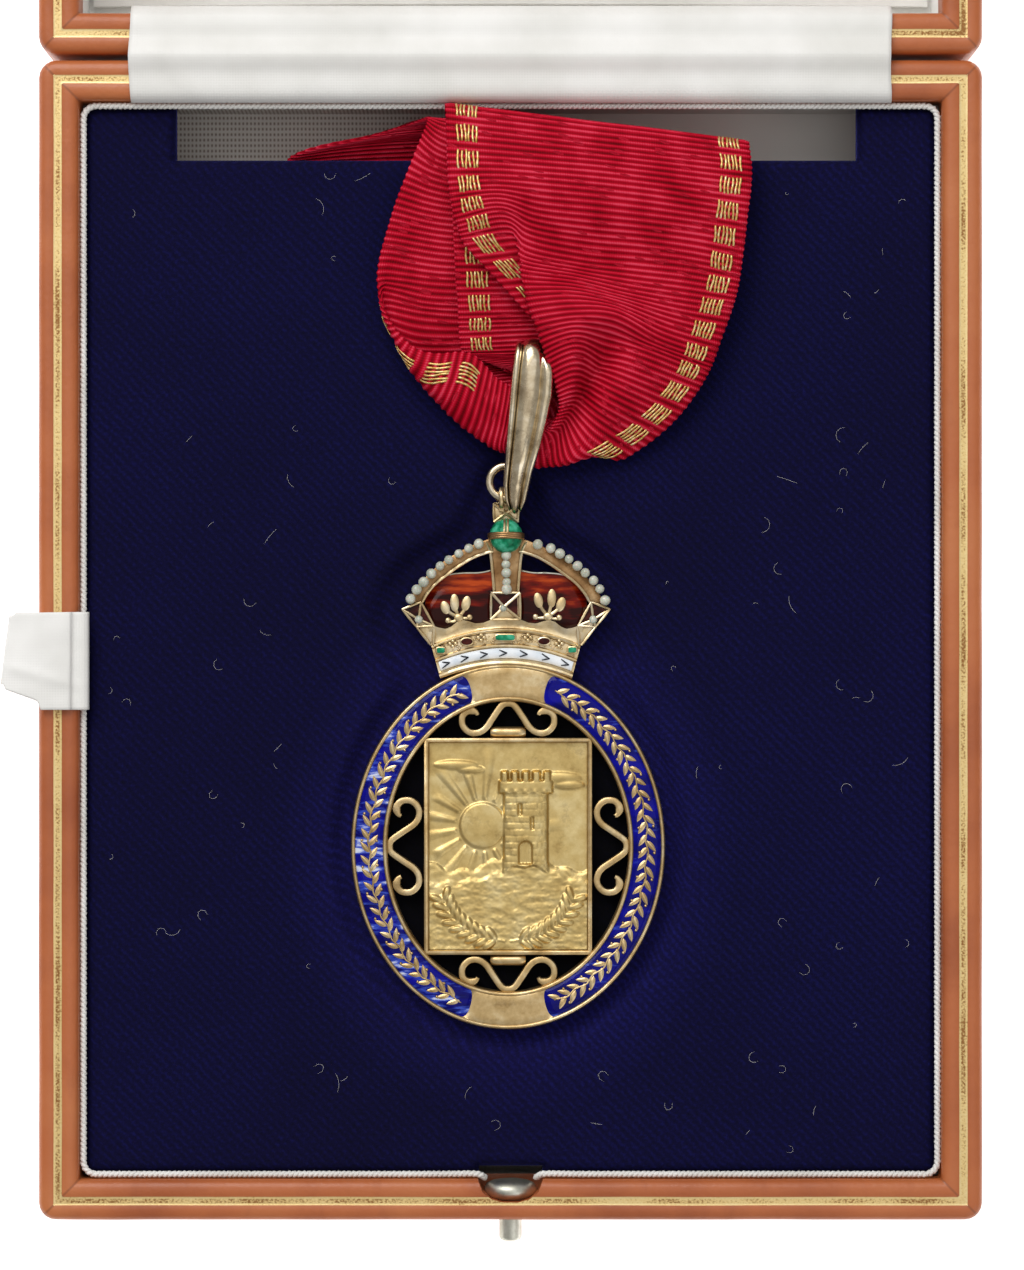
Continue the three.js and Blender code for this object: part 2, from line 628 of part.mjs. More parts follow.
// Joins rings of points into a closed loop of skin; the last ring meets the first
function closedSweep(rings) {
  const count = rings[0].length;
  const positions = rings.flat().flatMap((p) => [p.x, p.y, p.z]);
  const index = [];
  rings.forEach((_, i) => {
    const here = i * count;
    const next = ((i + 1) % rings.length) * count;
    for (let j = 0; j < count; j++) {
      const k = (j + 1) % count;
      index.push(here + j, here + k, next + k, here + j, next + k, next + j);
    }
  });
  const geometry = new THREE.BufferGeometry();
  geometry.setAttribute("position", new THREE.Float32BufferAttribute(positions, 3));
  geometry.setIndex(index);
  const solid = solidOf(geometry);
  if (solid.volume() > 0) return solid;
  geometry.setIndex(index.reverse());
  return solidOf(geometry);
}

// The neck ribbon is one closed band. Each row is a rib across it: near is the selvedge that lies on the left
// of the front leg, far the other one, and a to d are the points between where the cloth folds.
const ribs = [
  // The front leg, from the bend over the slot down to the bail
  {
    near: [-8.2, 65.8, 19.3], a: [-0.6, 65.4, 19.9], b: [7.1, 64.6, 20.2],
    c: [14.8, 63.7, 20.2], d: [22.4, 62.8, 19.9], far: [29.9, 62, 19.3],
  },
  {
    near: [-7.9, 61.2, 20.9], a: [-0.5, 60.9, 21.4], b: [7.1, 60.3, 21.7],
    c: [14.8, 59.6, 21.7], d: [22.4, 58.6, 21.2], far: [29.8, 57.4, 20.4],
  },
  {
    near: [-7.4, 55, 21.3], a: [-0.4, 55.7, 22.3], b: [6.8, 55, 21.8],
    c: [14.6, 54.1, 21.6], d: [22.2, 52.8, 21], far: [29.4, 51.3, 20.1],
  },
  {
    near: [-5.8, 49.2, 21.6], a: [-0.5, 51.7, 23.2], b: [6.2, 50.1, 21],
    c: [14, 48.6, 20.6], d: [21.8, 47, 20.7], far: [28.7, 45.6, 19.8],
  },
  {
    near: [-2.4, 44.7, 22], a: [0.8, 47.4, 23.4], b: [6.8, 45.3, 20.6],
    c: [13.4, 43.6, 20.3], d: [20.8, 41.6, 20.6], far: [27.4, 39.6, 19.4],
  },
  {
    near: [1.8, 40.9, 22.4], a: [4, 43, 23.3], b: [8.8, 42.2, 22.1],
    c: [14.4, 40.7, 21.8], d: [20.6, 37.6, 20.3], far: [25.7, 34.6, 18.8],
  },
  {
    near: [5.6, 37, 22], a: [7.6, 38.5, 22.9], b: [11.6, 38.8, 22.7],
    c: [15.8, 37.2, 21.5], d: [19.2, 33.6, 19.7], far: [23.2, 30.3, 18.2],
  },
  {
    near: [6.1, 33.2, 21.5], a: [8, 34.2, 22.3], b: [11.3, 34.6, 22],
    c: [13.8, 32.6, 20], d: [16.2, 29.4, 18.9], far: [19.4, 26.2, 17.7],
  },
  {
    near: [6.1, 29.8, 20.8], a: [7.8, 29.9, 21.4], b: [10, 30, 20.8],
    c: [11.4, 28.2, 19.1], d: [12.9, 25.6, 18.6], far: [14.9, 23.5, 17.4],
  },
  {
    near: [5.3, 27.4, 20], a: [6.4, 26.4, 20.2], b: [7.4, 25.2, 19.9],
    c: [8, 23.6, 19.2], d: [8.8, 22.5, 17.8], far: [10.6, 25.4, 17],
  },
  // Through the bail, folded lengthwise, and out to the left
  {
    near: [2.3, 29, 19.7], a: [2.1, 26.6, 19.7], b: [1.9, 23.8, 19.6],
    c: [1.9, 22.5, 18.6], d: [2.2, 24.2, 17.7], far: [3, 28.6, 17.7],
  },
  {
    near: [-0.6, 31.7, 20.1], a: [-1.4, 28.9, 20.2], b: [-2.3, 26, 19.9],
    c: [-2.8, 24.6, 18.6], d: [-2, 27.2, 17.7], far: [0.2, 32, 18],
  },
  {
    near: [-5, 35.9, 20.6], a: [-5.8, 32.8, 20.9], b: [-7.1, 29.8, 20.2],
    c: [-7.6, 28.8, 18.6], d: [-5.6, 32, 17.2], far: [-1.6, 36.4, 17.9],
  },
  {
    near: [-9.8, 35.5, 20.9], a: [-11.2, 34.4, 20.8], b: [-12.9, 34.2, 19.2],
    c: [-10, 36.4, 16.9], d: [-1.4, 38.4, 17.1], far: [-6.2, 37.6, 18.8],
  },
  {
    near: [-14, 38.6, 20.4], a: [-15, 38.8, 19.6], b: [-15.6, 39.8, 18.2],
    c: [-10.6, 41.4, 16.8], d: [0.2, 41.8, 17], far: [-6.4, 41.4, 18.8],
  },
  // Up the back leg, pleated in three, to the slot
  {
    near: [-16.4, 44.4, 19.5], a: [-16.9, 44.5, 18.8], b: [-17, 44.9, 17.9],
    c: [-10, 46, 17.2], d: [0.8, 45.7, 17.3], far: [-6.6, 45.5, 19],
  },
  {
    near: [-13, 50, 16.6], a: [-15.1, 50.1, 16.7], b: [-15.9, 50.2, 17.4],
    c: [-9.6, 50.6, 18.1], d: [0.8, 50.2, 18], far: [-6.7, 50, 19.5],
  },
  {
    near: [-10.4, 55.6, 16.5], a: [-12.7, 55.6, 16.6], b: [-13.8, 55.6, 17.4],
    c: [-8.6, 55.8, 18.2], d: [0.8, 55.4, 18.2], far: [-6.7, 55.4, 19.7],
  },
  {
    near: [-9.4, 60.2, 16.7], a: [-11, 60.3, 16.8], b: [-11.6, 60.5, 17.5],
    c: [-6.6, 60.8, 18.4], d: [1.6, 60.6, 18.6], far: [-5.4, 60.6, 20],
  },
  {
    near: [-17, 62.6, 15.4], a: [-14, 62.8, 16], b: [-10, 63, 16.8],
    c: [-4, 63.2, 17.4], d: [2, 63.3, 17.6], far: [3.4, 63, 18.6],
  },
  {
    near: [-26.6, 62.1, 12.6], a: [-20, 62.3, 13.2], b: [-12.6, 62.6, 13.6],
    c: [-5.2, 62.8, 14], d: [2.2, 62.9, 14.2], far: [9.6, 62.9, 14.2],
  },
];

// The hidden stretch runs flat under the pad to the front and doubles back; left is where its near selvedge lies
const underRuns = [
  { left: -28.4, y: 58.4, z: 9.6 },
  { left: -26.4, y: 47, z: ribbon.runZ },
  { left: -18, y: 0, z: ribbon.runZ },
  { left: -9.6, y: -50, z: ribbon.runZ },
  { left: -8.4, y: -58, z: ribbon.runZ - 0.5 },
  { left: -8.3, y: -60.4, z: (ribbon.runZ + ribbon.returnZ) / 2 },
  { left: -8.2, y: -58, z: ribbon.returnZ + 0.5 },
  { left: -8.2, y: -50, z: ribbon.returnZ },
  { left: -8.2, y: 0, z: ribbon.returnZ },
  { left: -8.2, y: 50, z: ribbon.returnZ },
  { left: -8.2, y: 61, z: ribbon.returnZ + 1.6 },
  { left: -8.2, y: 64.4, z: 10.6 },
  { left: -8.2, y: 65.1, z: 15.4 },
];
const ribbonWidth = 38.1;

function flatRib({ left, y, z }) {
  const columns = ["near", "a", "b", "c", "d", "far"];
  return Object.fromEntries(columns.map((column, i) => [column, [left + (ribbonWidth * i) / 5, y, z]]));
}

function ribbonBand() {
  const columns = ["near", "a", "b", "c", "d", "far"];
  const rows = [...ribs, ...underRuns.map(flatRib)];
  const { thickness, acrossSteps, alongSteps } = ribbon;
  // One closed guide curve runs the length of the ribbon through each column
  const guides = columns.map(
    (column) => new THREE.CatmullRomCurve3(rows.map((row) => new THREE.Vector3(...row[column])), true, "centripetal"),
  );
  // The folded rows are sampled more closely than the flat ones
  const places = rows.flatMap((_, i) => {
    const steps = i < ribs.length ? alongSteps : 1;
    return [...Array(steps).keys()].map((step) => (i + step / steps) / rows.length);
  });
  const grid = places.map((place) => {
    const across = new THREE.CatmullRomCurve3(guides.map((guide) => guide.getPoint(place)));
    return across.getSpacedPoints(acrossSteps);
  });
  const stations = grid.length;
  const rings = grid.map((line, i) => {
    const before = grid[(i + stations - 1) % stations];
    const after = grid[(i + 1) % stations];
    const shifted = [1, -1].map((side) =>
      line.map((p, j) => {
        const along = after[j].clone().sub(before[j]);
        const over = line[Math.min(j + 1, acrossSteps)].clone().sub(line[Math.max(j - 1, 0)]);
        return p.clone().addScaledVector(along.cross(over).normalize(), (side * thickness) / 2);
      }),
    );
    return [...shifted[0], ...shifted[1].reverse()];
  });
  return closedSweep(rings);
}

buildCase();
buildBadge();
buildCrown();
add("jump_ring", jumpRing(), gilt);
add("bail", bailLoop(), gilt);
add("ribbon", ribbonBand(), grosgrain);

export default part;
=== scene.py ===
import bpy, bmesh, math, random
import numpy as np
from mathutils import Matrix, Vector, noise


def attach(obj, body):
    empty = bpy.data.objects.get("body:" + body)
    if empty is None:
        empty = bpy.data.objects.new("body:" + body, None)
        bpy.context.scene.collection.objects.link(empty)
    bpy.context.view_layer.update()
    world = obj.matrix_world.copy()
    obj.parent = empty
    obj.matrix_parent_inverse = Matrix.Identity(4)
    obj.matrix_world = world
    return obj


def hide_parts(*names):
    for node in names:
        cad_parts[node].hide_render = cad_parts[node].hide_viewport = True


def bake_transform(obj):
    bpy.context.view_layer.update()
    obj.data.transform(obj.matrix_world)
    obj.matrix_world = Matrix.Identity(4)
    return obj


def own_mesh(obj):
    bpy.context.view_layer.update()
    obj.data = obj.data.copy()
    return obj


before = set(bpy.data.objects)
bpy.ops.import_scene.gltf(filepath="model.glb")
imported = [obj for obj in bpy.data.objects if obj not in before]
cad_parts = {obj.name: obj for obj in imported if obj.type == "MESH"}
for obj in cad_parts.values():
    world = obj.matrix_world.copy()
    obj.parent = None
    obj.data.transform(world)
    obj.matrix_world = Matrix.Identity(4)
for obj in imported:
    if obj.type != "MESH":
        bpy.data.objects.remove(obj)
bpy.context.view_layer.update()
random.seed(11)

# Everything below is drawn in millimetres in the case's frame; finishPiece turns it to metres
mm = 0.001

# Camera: straight down on the open case, the hinge at the top of the picture
shot = {"lens": 135.0, "sensor": 36.0, "centre": (0.19, 0.63), "level": 17.0, "tall": 158.75}
cameraData = bpy.data.cameras.new("shotCamera")
cameraData.lens = shot["lens"]
cameraData.sensor_width = shot["sensor"]
cameraData.clip_start = 0.01
camera = bpy.data.objects.new("shotCamera", cameraData)
camera.location = (
    shot["centre"][0] * mm,
    shot["centre"][1] * mm,
    (shot["level"] + shot["tall"] * shot["lens"] / shot["sensor"]) * mm,
)
bpy.context.scene.collection.objects.link(camera)
bpy.context.scene.camera = camera
print("camera placed")


def hexColour(code):
    parts = [int(code[i:i + 2], 16) / 255 for i in (1, 3, 5)]
    return [c / 12.92 if c <= 0.04045 else ((c + 0.055) / 1.055) ** 2.4 for c in parts] + [1.0]


def addNode(tree, kind, links=None, stops=None, **settings):
    node = tree.nodes.new("ShaderNode" + kind)
    for key, value in settings.items():
        setattr(node, key, value)
    for socket, value in (links or {}).items():
        if isinstance(value, bpy.types.NodeSocket):
            tree.links.new(value, node.inputs[socket])
        else:
            node.inputs[socket].default_value = value
    if stops:
        ramp = node.color_ramp
        while len(ramp.elements) < len(stops):
            ramp.elements.new(0.5)
        for element, (place, code) in zip(ramp.elements, stops):
            element.position = place
            element.color = hexColour(code)
    return node


def addNoise(tree, at, size, detail, **more):
    # Noise whose features are about size millimetres
    links = {"Vector": at, "Scale": 1 / (size * mm), "Detail": detail}
    return addNode(tree, "TexNoise", {**links, **{key.title(): value for key, value in more.items()}})


def addBands(tree, at, pitch, way, distortion, **more):
    # Stripes pitch millimetres apart
    steps = 14.14 if way == "DIAGONAL" else 20
    links = {"Vector": at, "Scale": 2 * math.pi / (steps * pitch * mm), "Distortion": distortion}
    return addNode(tree, "TexWave", {**links, **more}, bands_direction=way)


def addMath(tree, operation, *values):
    return addNode(tree, "Math", dict(enumerate(values)), operation=operation)


def addBump(tree, shader, strength, depth, height):
    bump = addNode(tree, "Bump", {"Strength": strength, "Distance": depth * mm, "Height": height})
    tree.links.new(bump.outputs[0], shader.inputs["Normal"])


def objectPlace(tree):
    return addNode(tree, "TexCoord").outputs["Object"]


def startMaterial(name, sockets):
    made = bpy.data.materials.new(name)
    made.use_nodes = True
    shader = made.node_tree.nodes["Principled BSDF"]
    for key, value in sockets.items():
        shader.inputs[key].default_value = hexColour(value) if isinstance(value, str) else value
    return made, made.node_tree, shader


def skin(rows, around=False, along=False, capped=False):
    # A grid pulled over rows of points; around and along weld its edges into a tube or a ring
    table = np.asarray(rows, float)
    if around:
        table = np.concatenate([table, table[:, :1]], axis=1)
    if along:
        table = np.concatenate([table, table[:1]], axis=0)
    high, wide = table.shape[0] - 1, table.shape[1] - 1
    bm = bmesh.new()
    bmesh.ops.create_grid(bm, x_segments=wide, y_segments=high, size=1.0)
    for v in bm.verts:
        v.co = table[round((v.co.y + 1) / 2 * high)][round((v.co.x + 1) / 2 * wide)]
    if around or along:
        bmesh.ops.remove_doubles(bm, verts=bm.verts, dist=1e-5)
    if capped:
        bmesh.ops.holes_fill(bm, edges=[e for e in bm.edges if e.is_boundary], sides=0)
    bmesh.ops.recalc_face_normals(bm, faces=bm.faces)
    return bm


def closeUnder(bm, level):
    # A sheet's open edge dropped to a level and closed there
    skirt = bmesh.ops.extrude_edge_only(bm, edges=[e for e in bm.edges if e.is_boundary])["geom"]
    for v in [g for g in skirt if isinstance(g, bmesh.types.BMVert)]:
        v.co.z = level
    bmesh.ops.holes_fill(bm, edges=[e for e in bm.edges if e.is_boundary], sides=0)
    bmesh.ops.recalc_face_normals(bm, faces=bm.faces)


def thickened(rows, thickness):
    # Cloth: a grid of points given a thickness
    bm = skin(rows)
    bmesh.ops.solidify(bm, geom=bm.faces, thickness=thickness)
    bmesh.ops.recalc_face_normals(bm, faces=bm.faces)
    return bm


def bar(start, finish, low, high, radius):
    # A straight wire between two points of a plan, its middle raised to high
    middle = ((start[0] + finish[0]) / 2, (start[1] + finish[1]) / 2, high)
    return tube([(*start, low), middle, (*finish, low)], radius)


def plate(points, low, high, edge=0.0, steps=2):
    # A flat outline raised to a plate, its upper edge eased
    bm = bmesh.new()
    face = bm.faces.new([bm.verts.new((x, y, low)) for x, y in points])
    raised = bmesh.ops.extrude_face_region(bm, geom=[face])["geom"]
    top = [g for g in raised if isinstance(g, bmesh.types.BMVert)]
    bmesh.ops.translate(bm, verts=top, vec=(0, 0, high - low))
    if edge:
        rim = [e for e in bm.edges if all(abs(v.co.z - high) < 1e-6 for v in e.verts)]
        bmesh.ops.bevel(bm, geom=rim, offset=edge, segments=steps, profile=0.5, affect="EDGES",
                        material=-1, clamp_overlap=True)
    bmesh.ops.recalc_face_normals(bm, faces=bm.faces)
    return bm


def framesAlong(path, closed):
    # Side and up directions carried along a path without twist
    points = np.asarray(path, float)
    ahead = (np.roll(points, -1, 0) - np.roll(points, 1, 0)) if closed else np.gradient(points, axis=0)
    ahead /= np.linalg.norm(ahead, axis=1)[:, None]
    side = np.cross(ahead[0], (0, 0, 1) if abs(ahead[0][2]) < 0.9 else (1, 0, 0))
    sides, ups = [], []
    for direction in ahead:
        side = side - direction * np.dot(side, direction)
        side /= np.linalg.norm(side)
        sides.append(side)
        ups.append(np.cross(side, direction))
    return points, np.array(sides), np.array(ups)


def tube(path, radius, count=8, closed=False, tip=0.6):
    # A round wire; open ends are eased to tip times the radius
    points, sides, ups = framesAlong(path, closed)
    angles = np.linspace(0, 2 * math.pi, count, endpoint=False)
    radii = np.full(len(points), radius, float)
    if not closed:
        radii[0] = radii[-1] = radius * tip
    rows = [p + r * (np.outer(np.cos(angles), s) + np.outer(np.sin(angles), u))
            for p, s, u, r in zip(points, sides, ups, radii)]
    return skin(rows, around=True, along=closed, capped=not closed)


def ball(centre, radii, turn=0.0, segments=14):
    bm = bmesh.new()
    bmesh.ops.create_uvsphere(bm, u_segments=segments, v_segments=segments // 2 + 1, radius=1.0)
    place = Matrix.Translation(centre) @ Matrix.Rotation(math.radians(turn), 4, "Z")
    place = place @ Matrix.Diagonal((*radii, 1.0))
    bmesh.ops.transform(bm, matrix=place, verts=bm.verts)
    return bm


def lathe(profile, centre, axis, count=48):
    # A profile of (radius, along) spun about an axis through centre
    axis = Vector(axis)
    side = Vector((0, 0, 1)) if abs(axis.z) < 0.9 else Vector((1, 0, 0))
    bm = bmesh.new()
    line = [bm.verts.new(Vector(centre) + side * r + axis * h) for r, h in profile]
    edges = [bm.edges.new(pair) for pair in zip(line, line[1:])]
    bmesh.ops.spin(bm, geom=line + edges, cent=centre, axis=axis, angle=2 * math.pi, steps=count, use_merge=True)
    bmesh.ops.remove_doubles(bm, verts=bm.verts, dist=1e-5)
    bmesh.ops.recalc_face_normals(bm, faces=bm.faces)
    return bm


def curveThrough(points, count, closed=False):
    # Points spaced along a smooth curve through a few given ones
    given = np.asarray(points, float)
    n = len(given)
    spans = n if closed else n - 1
    fine = []
    for i in range(spans):
        if closed:
            p0, p1, p2, p3 = (given[(i + k) % n] for k in (-1, 0, 1, 2))
        else:
            p1, p2 = given[i], given[i + 1]
            p0 = given[i - 1] if i else 2 * p1 - p2
            p3 = given[i + 2] if i + 2 < n else 2 * p2 - p1
        for t in np.linspace(0, 1, 24, endpoint=False):
            fine.append(0.5 * (2 * p1 + (p2 - p0) * t + (2 * p0 - 5 * p1 + 4 * p2 - p3) * t * t
                               + (3 * p1 - p0 - 3 * p2 + p3) * t ** 3))
    fine.append(given[0] if closed else given[-1])
    fine = np.array(fine)
    run = np.concatenate([[0], np.cumsum(np.linalg.norm(np.diff(fine, axis=0), axis=1))])
    places = np.linspace(0, run[-1], count, endpoint=not closed)
    return np.stack([np.interp(places, run, fine[:, k]) for k in range(fine.shape[1])], axis=1)


def smoothStep(low, high, value):
    t = np.clip((np.asarray(value, float) - low) / (high - low), 0, 1)
    return t * t * (3 - 2 * t)


def finishPiece(name, shapes, materials, body, nodes=(), sharp=38):
    # shapes is a list of (bmesh, material number); a number below 0 keeps the faces' own
    whole = bmesh.new()
    for shape, number in shapes:
        if number >= 0:
            for face in shape.faces:
                face.material_index = number
        held = bpy.data.meshes.new("held")
        shape.to_mesh(held)
        shape.free()
        whole.from_mesh(held)
        bpy.data.meshes.remove(held)
    bmesh.ops.scale(whole, vec=(mm, mm, mm), verts=whole.verts)
    mesh = bpy.data.meshes.new(name)
    whole.to_mesh(mesh)
    whole.free()
    for finish in materials:
        mesh.materials.append(finish)
    mesh.polygons.foreach_set("use_smooth", [True] * len(mesh.polygons))
    if sharp:
        mesh.set_sharp_from_angle(angle=math.radians(sharp))
    obj = bpy.data.objects.new(name, mesh)
    bpy.context.scene.collection.objects.link(obj)
    if body:
        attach(obj, body)
    if nodes:
        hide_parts(*nodes)
    return obj


def carve(obj, shapes):
    # Cut shapes, given in millimetres, out of a finished piece
    for shape in shapes:
        bmesh.ops.scale(shape, vec=(mm, mm, mm), verts=shape.verts)
        mesh = bpy.data.meshes.new("cutter")
        shape.to_mesh(mesh)
        shape.free()
        cutter = bpy.data.objects.new("cutter", mesh)
        bpy.context.scene.collection.objects.link(cutter)
        cut = obj.modifiers.new("cut", "BOOLEAN")
        cut.operation, cut.solver, cut.object = "DIFFERENCE", "EXACT", cutter
        graph = bpy.context.evaluated_depsgraph_get()
        done = bpy.data.meshes.new_from_object(obj.evaluated_get(graph))
        obj.modifiers.remove(cut)
        old, obj.data = obj.data, done
        bpy.data.objects.remove(cutter)
        bpy.data.meshes.remove(mesh)
        bpy.data.meshes.remove(old)
    obj.data.name = obj.name


# Calf leather, dyed tan and polished: fine pebbled grain, soft gloss, darker scuffs, and painted shade in the mitred
# corners
def calfLeather(name, centreY):
    made, tree, shader = startMaterial(name, {"Roughness": 0.42, "IOR": 1.5, "Coat Weight": 0.12})
    at = objectPlace(tree)
    tone = addNoise(tree, at, 16, 5.0)
    dye = addNode(tree, "ValToRGB", {"Fac": tone.outputs["Fac"]},
                  [(0.3, "#A05026"), (0.52, "#B86434"), (0.75, "#C47442")])
    long = addNode(tree, "Mapping", {"Vector": at, "Scale": (1.0, 0.35, 1.0)})
    scuff = addNoise(tree, long.outputs[0], 3, 6.0)
    worn = addNode(tree, "MapRange",
                   {"Value": scuff.outputs["Fac"], "From Min": 0.56, "From Max": 0.74, "To Max": 0.2})
    scuffed = addNode(tree, "Mix", {0: worn.outputs[0], 6: dye.outputs[0], 7: hexColour("#7E3A1E")},
                      data_type="RGBA")
    # the mitre runs where the distances in from the two sides are equal
    split = addNode(tree, "SeparateXYZ", {0: at})
    fromSide = addMath(tree, "ABSOLUTE", split.outputs[0])
    shifted = addMath(tree, "SUBTRACT", split.outputs[1], centreY * mm)
    fromEnd = addMath(tree, "ABSOLUTE", shifted.outputs[0])
    across = addMath(tree, "SUBTRACT", fromEnd.outputs[0], fromSide.outputs[0])
    offMitre = addMath(tree, "SUBTRACT", across.outputs[0], 13.5 * mm)
    nearMitre = addMath(tree, "ABSOLUTE", offMitre.outputs[0])
    # a dark line along each mitre on the rim: painted shade of the mitre crease, the groove itself is not modelled
    mitreCreaseShade = addNode(tree, "MapRange",
                     {"Value": nearMitre.outputs[0], "From Min": 0.05 * mm, "From Max": 0.3 * mm, "To Min": 0.45,
                      "To Max": 0.0})
    rimOnly = addMath(tree, "GREATER_THAN", split.outputs[2], 16.5 * mm)
    mitreShadeOnRim = addMath(tree, "MULTIPLY", mitreCreaseShade.outputs[0], rimOnly.outputs[0])
    mitreShaded = addNode(tree, "Mix", {0: mitreShadeOnRim.outputs[0], 6: scuffed.outputs[2], 7: hexColour("#5A2810")},
                      data_type="RGBA")
    tree.links.new(mitreShaded.outputs[2], shader.inputs["Base Color"])
    pebble = addNode(tree, "TexVoronoi", {"Vector": at, "Scale": 1 / (0.75 * mm), "Randomness": 0.9})
    pore = addNoise(tree, at, 0.4, 3.0)
    height = addMath(tree, "ADD", pebble.outputs["Distance"], pore.outputs["Fac"])
    addBump(tree, shader, 0.35, 0.07, height.outputs[0])
    gloss = addNode(tree, "MapRange", {"Value": scuff.outputs["Fac"], "To Min": 0.3, "To Max": 0.6})
    tree.links.new(gloss.outputs[0], shader.inputs["Roughness"])
    return made


# Gold leaf tooled into leather: bright along the tool's edges, rubbed to specks between them
def goldLeaf(name, rubbed):
    made, tree, shader = startMaterial(name, {"Roughness": 0.42, "Metallic": 0.6})
    at = objectPlace(tree)
    speck = addNoise(tree, at, 0.28, 2.0)
    patch = addNoise(tree, at, 9, 2.0)
    both = addMath(tree, "ADD", speck.outputs["Fac"], patch.outputs["Fac"])
    leaf = addNode(tree, "ValToRGB", {"Fac": both.outputs[0]},
                   [(rubbed, "#9A6A38"), (rubbed + 0.12, "#EACB8A"), (1.0, "#FBEBB8")])
    half = addMath(tree, "MULTIPLY", both.outputs[0], 0.5)
    tree.links.new(half.outputs[0], leaf.inputs["Fac"])
    tree.links.new(leaf.outputs[0], shader.inputs["Base Color"])
    addBump(tree, shader, 0.5, 0.05, speck.outputs["Fac"])
    return made


# Silk velvet, dense cut pile: nearly black looking into it, a blue bloom where the pile leans away
def silkVelvet():
    made, tree, shader = startMaterial("silkVelvet", {
        "Roughness": 0.9, "Specular IOR Level": 0.12, "Sheen Weight": 0.5, "Sheen Roughness": 0.32,
        "Sheen Tint": "#6066D8"})
    at = objectPlace(tree)
    brushed = addNoise(tree, at, 34, 4.0, roughness=0.6)
    pile = addNoise(tree, at, 0.42, 2.0)
    # rows of pile on the slant, drawn at 0.9 mm so that they show
    rows = addBands(tree, at, 0.9, "DIAGONAL", 1.2, **{"Detail": 2.0, "Detail Scale": 1.5})
    soft = addNode(tree, "MapRange", {"Value": brushed.outputs["Fac"], "To Min": 0.38, "To Max": 0.62})
    mixed = addMath(tree, "MULTIPLY_ADD", pile.outputs["Fac"], 0.45, soft.outputs[0])
    rowed = addMath(tree, "MULTIPLY_ADD", rows.outputs["Fac"], 0.12, mixed.outputs[0])
    colour = addNode(tree, "ValToRGB", {"Fac": rowed.outputs[0]},
                     [(0.55, "#0A0824"), (0.8, "#110E44"), (1.0, "#1A1B68")])
    # painted shade inside the hoop, near black under the badge; a painted sheen in a ring just outside the badge, where
    # the pile is pressed and bent
    local = addNode(tree, "Mapping", {"Vector": at, "Location": (0.3 / 15.1, 25.83 / 18.2, 0.0),
                                      "Scale": (1 / (15.1 * mm), 1 / (18.2 * mm), 0.0)})
    away = addNode(tree, "VectorMath", {0: local.outputs[0]}, operation="LENGTH")
    paintedShadeAndSheen = addNode(tree, "ValToRGB", {"Fac": away.outputs["Value"]},
                    [(0.0, "#202020"), (0.5, "#303030"), (0.56, "#B4B4B4"), (0.66, "#F4F4F4"), (0.95, "#B8B8B8")])
    half = addMath(tree, "MULTIPLY", away.outputs["Value"], 0.5)
    tree.links.new(half.outputs[0], paintedShadeAndSheen.inputs["Fac"])
    toneWithPaintedLight = addNode(tree, "Mix", {0: 1.0, 6: colour.outputs[0], 7: paintedShadeAndSheen.outputs[0]}, data_type="RGBA",
                  blend_type="MULTIPLY")
    tree.links.new(toneWithPaintedLight.outputs[2], shader.inputs["Base Color"])
    addBump(tree, shader, 0.6, 0.12, pile.outputs["Fac"])
    return made


# Silk satin, ivory white: smooth floats with a soft broad highlight and a very fine weave
def silkSatin(name, code, weave):
    made, tree, shader = startMaterial(name, {
        "Roughness": 0.46, "Sheen Weight": 0.25, "Sheen Roughness": 0.4, "Sheen Tint": "#FFFFFF"})
    at = objectPlace(tree)
    tone = addNoise(tree, at, 11, 3.0)
    colour = addNode(tree, "ValToRGB", {"Fac": tone.outputs["Fac"]}, [(0.3, code), (0.7, "#F4F2EE")])
    tree.links.new(colour.outputs[0], shader.inputs["Base Color"])
    # threads drawn at twice their real width so that they show
    warp = addBands(tree, at, weave, "X", 0.4)
    weft = addBands(tree, at, weave, "Y", 0.4)
    both = addMath(tree, "ADD", warp.outputs["Fac"], weft.outputs["Fac"])
    addBump(tree, shader, 0.25, 0.03, both.outputs[0])
    return made


# Silk grosgrain, crimson: round cross ribs over fine warp threads, low gloss with a faint pink sheen; the crests are
# painted lighter pink and the grooves darker, a painted highlight and shade of the ribs
def silkGrosgrain(pitch):
    made, tree, shader = startMaterial("silkGrosgrain", {
        "Roughness": 0.62, "Specular IOR Level": 0.06, "Sheen Weight": 0.02, "Sheen Roughness": 0.4,
        "Sheen Tint": "#FF8C98"})
    cloth = addNode(tree, "UVMap", uv_map="cloth").outputs[0]
    split = addNode(tree, "SeparateXYZ", {0: cloth})
    # each rib's crest painted lighter and its groove darker: painted highlight and shade of the ribs, over a random
    # mottle
    turns = addMath(tree, "MULTIPLY", split.outputs[1], 2 * math.pi / (pitch * mm))
    crest = addMath(tree, "COSINE", turns.outputs[0])
    mottle = addNoise(tree, cloth, 5, 4.0)
    # warp threads are 0.13 mm and are drawn at 0.3 mm so that they show
    warp = addBands(tree, cloth, 0.3, "X", 1.5, **{"Detail": 2.0, "Detail Scale": 2.0})
    toneWithPaintedLight = addMath(tree, "MULTIPLY_ADD", crest.outputs[0], 0.34, mottle.outputs["Fac"])
    fine = addMath(tree, "MULTIPLY_ADD", warp.outputs["Fac"], 0.16, toneWithPaintedLight.outputs[0])
    colour = addNode(tree, "ValToRGB", {"Fac": fine.outputs[0]},
                     [(0.1, "#640008"), (0.45, "#A2001A"), (0.8, "#C40E2C"), (1.0, "#DC3E56")])
    tree.links.new(colour.outputs[0], shader.inputs["Base Color"])
    addBump(tree, shader, 0.4, 0.04, warp.outputs["Fac"])
    return made


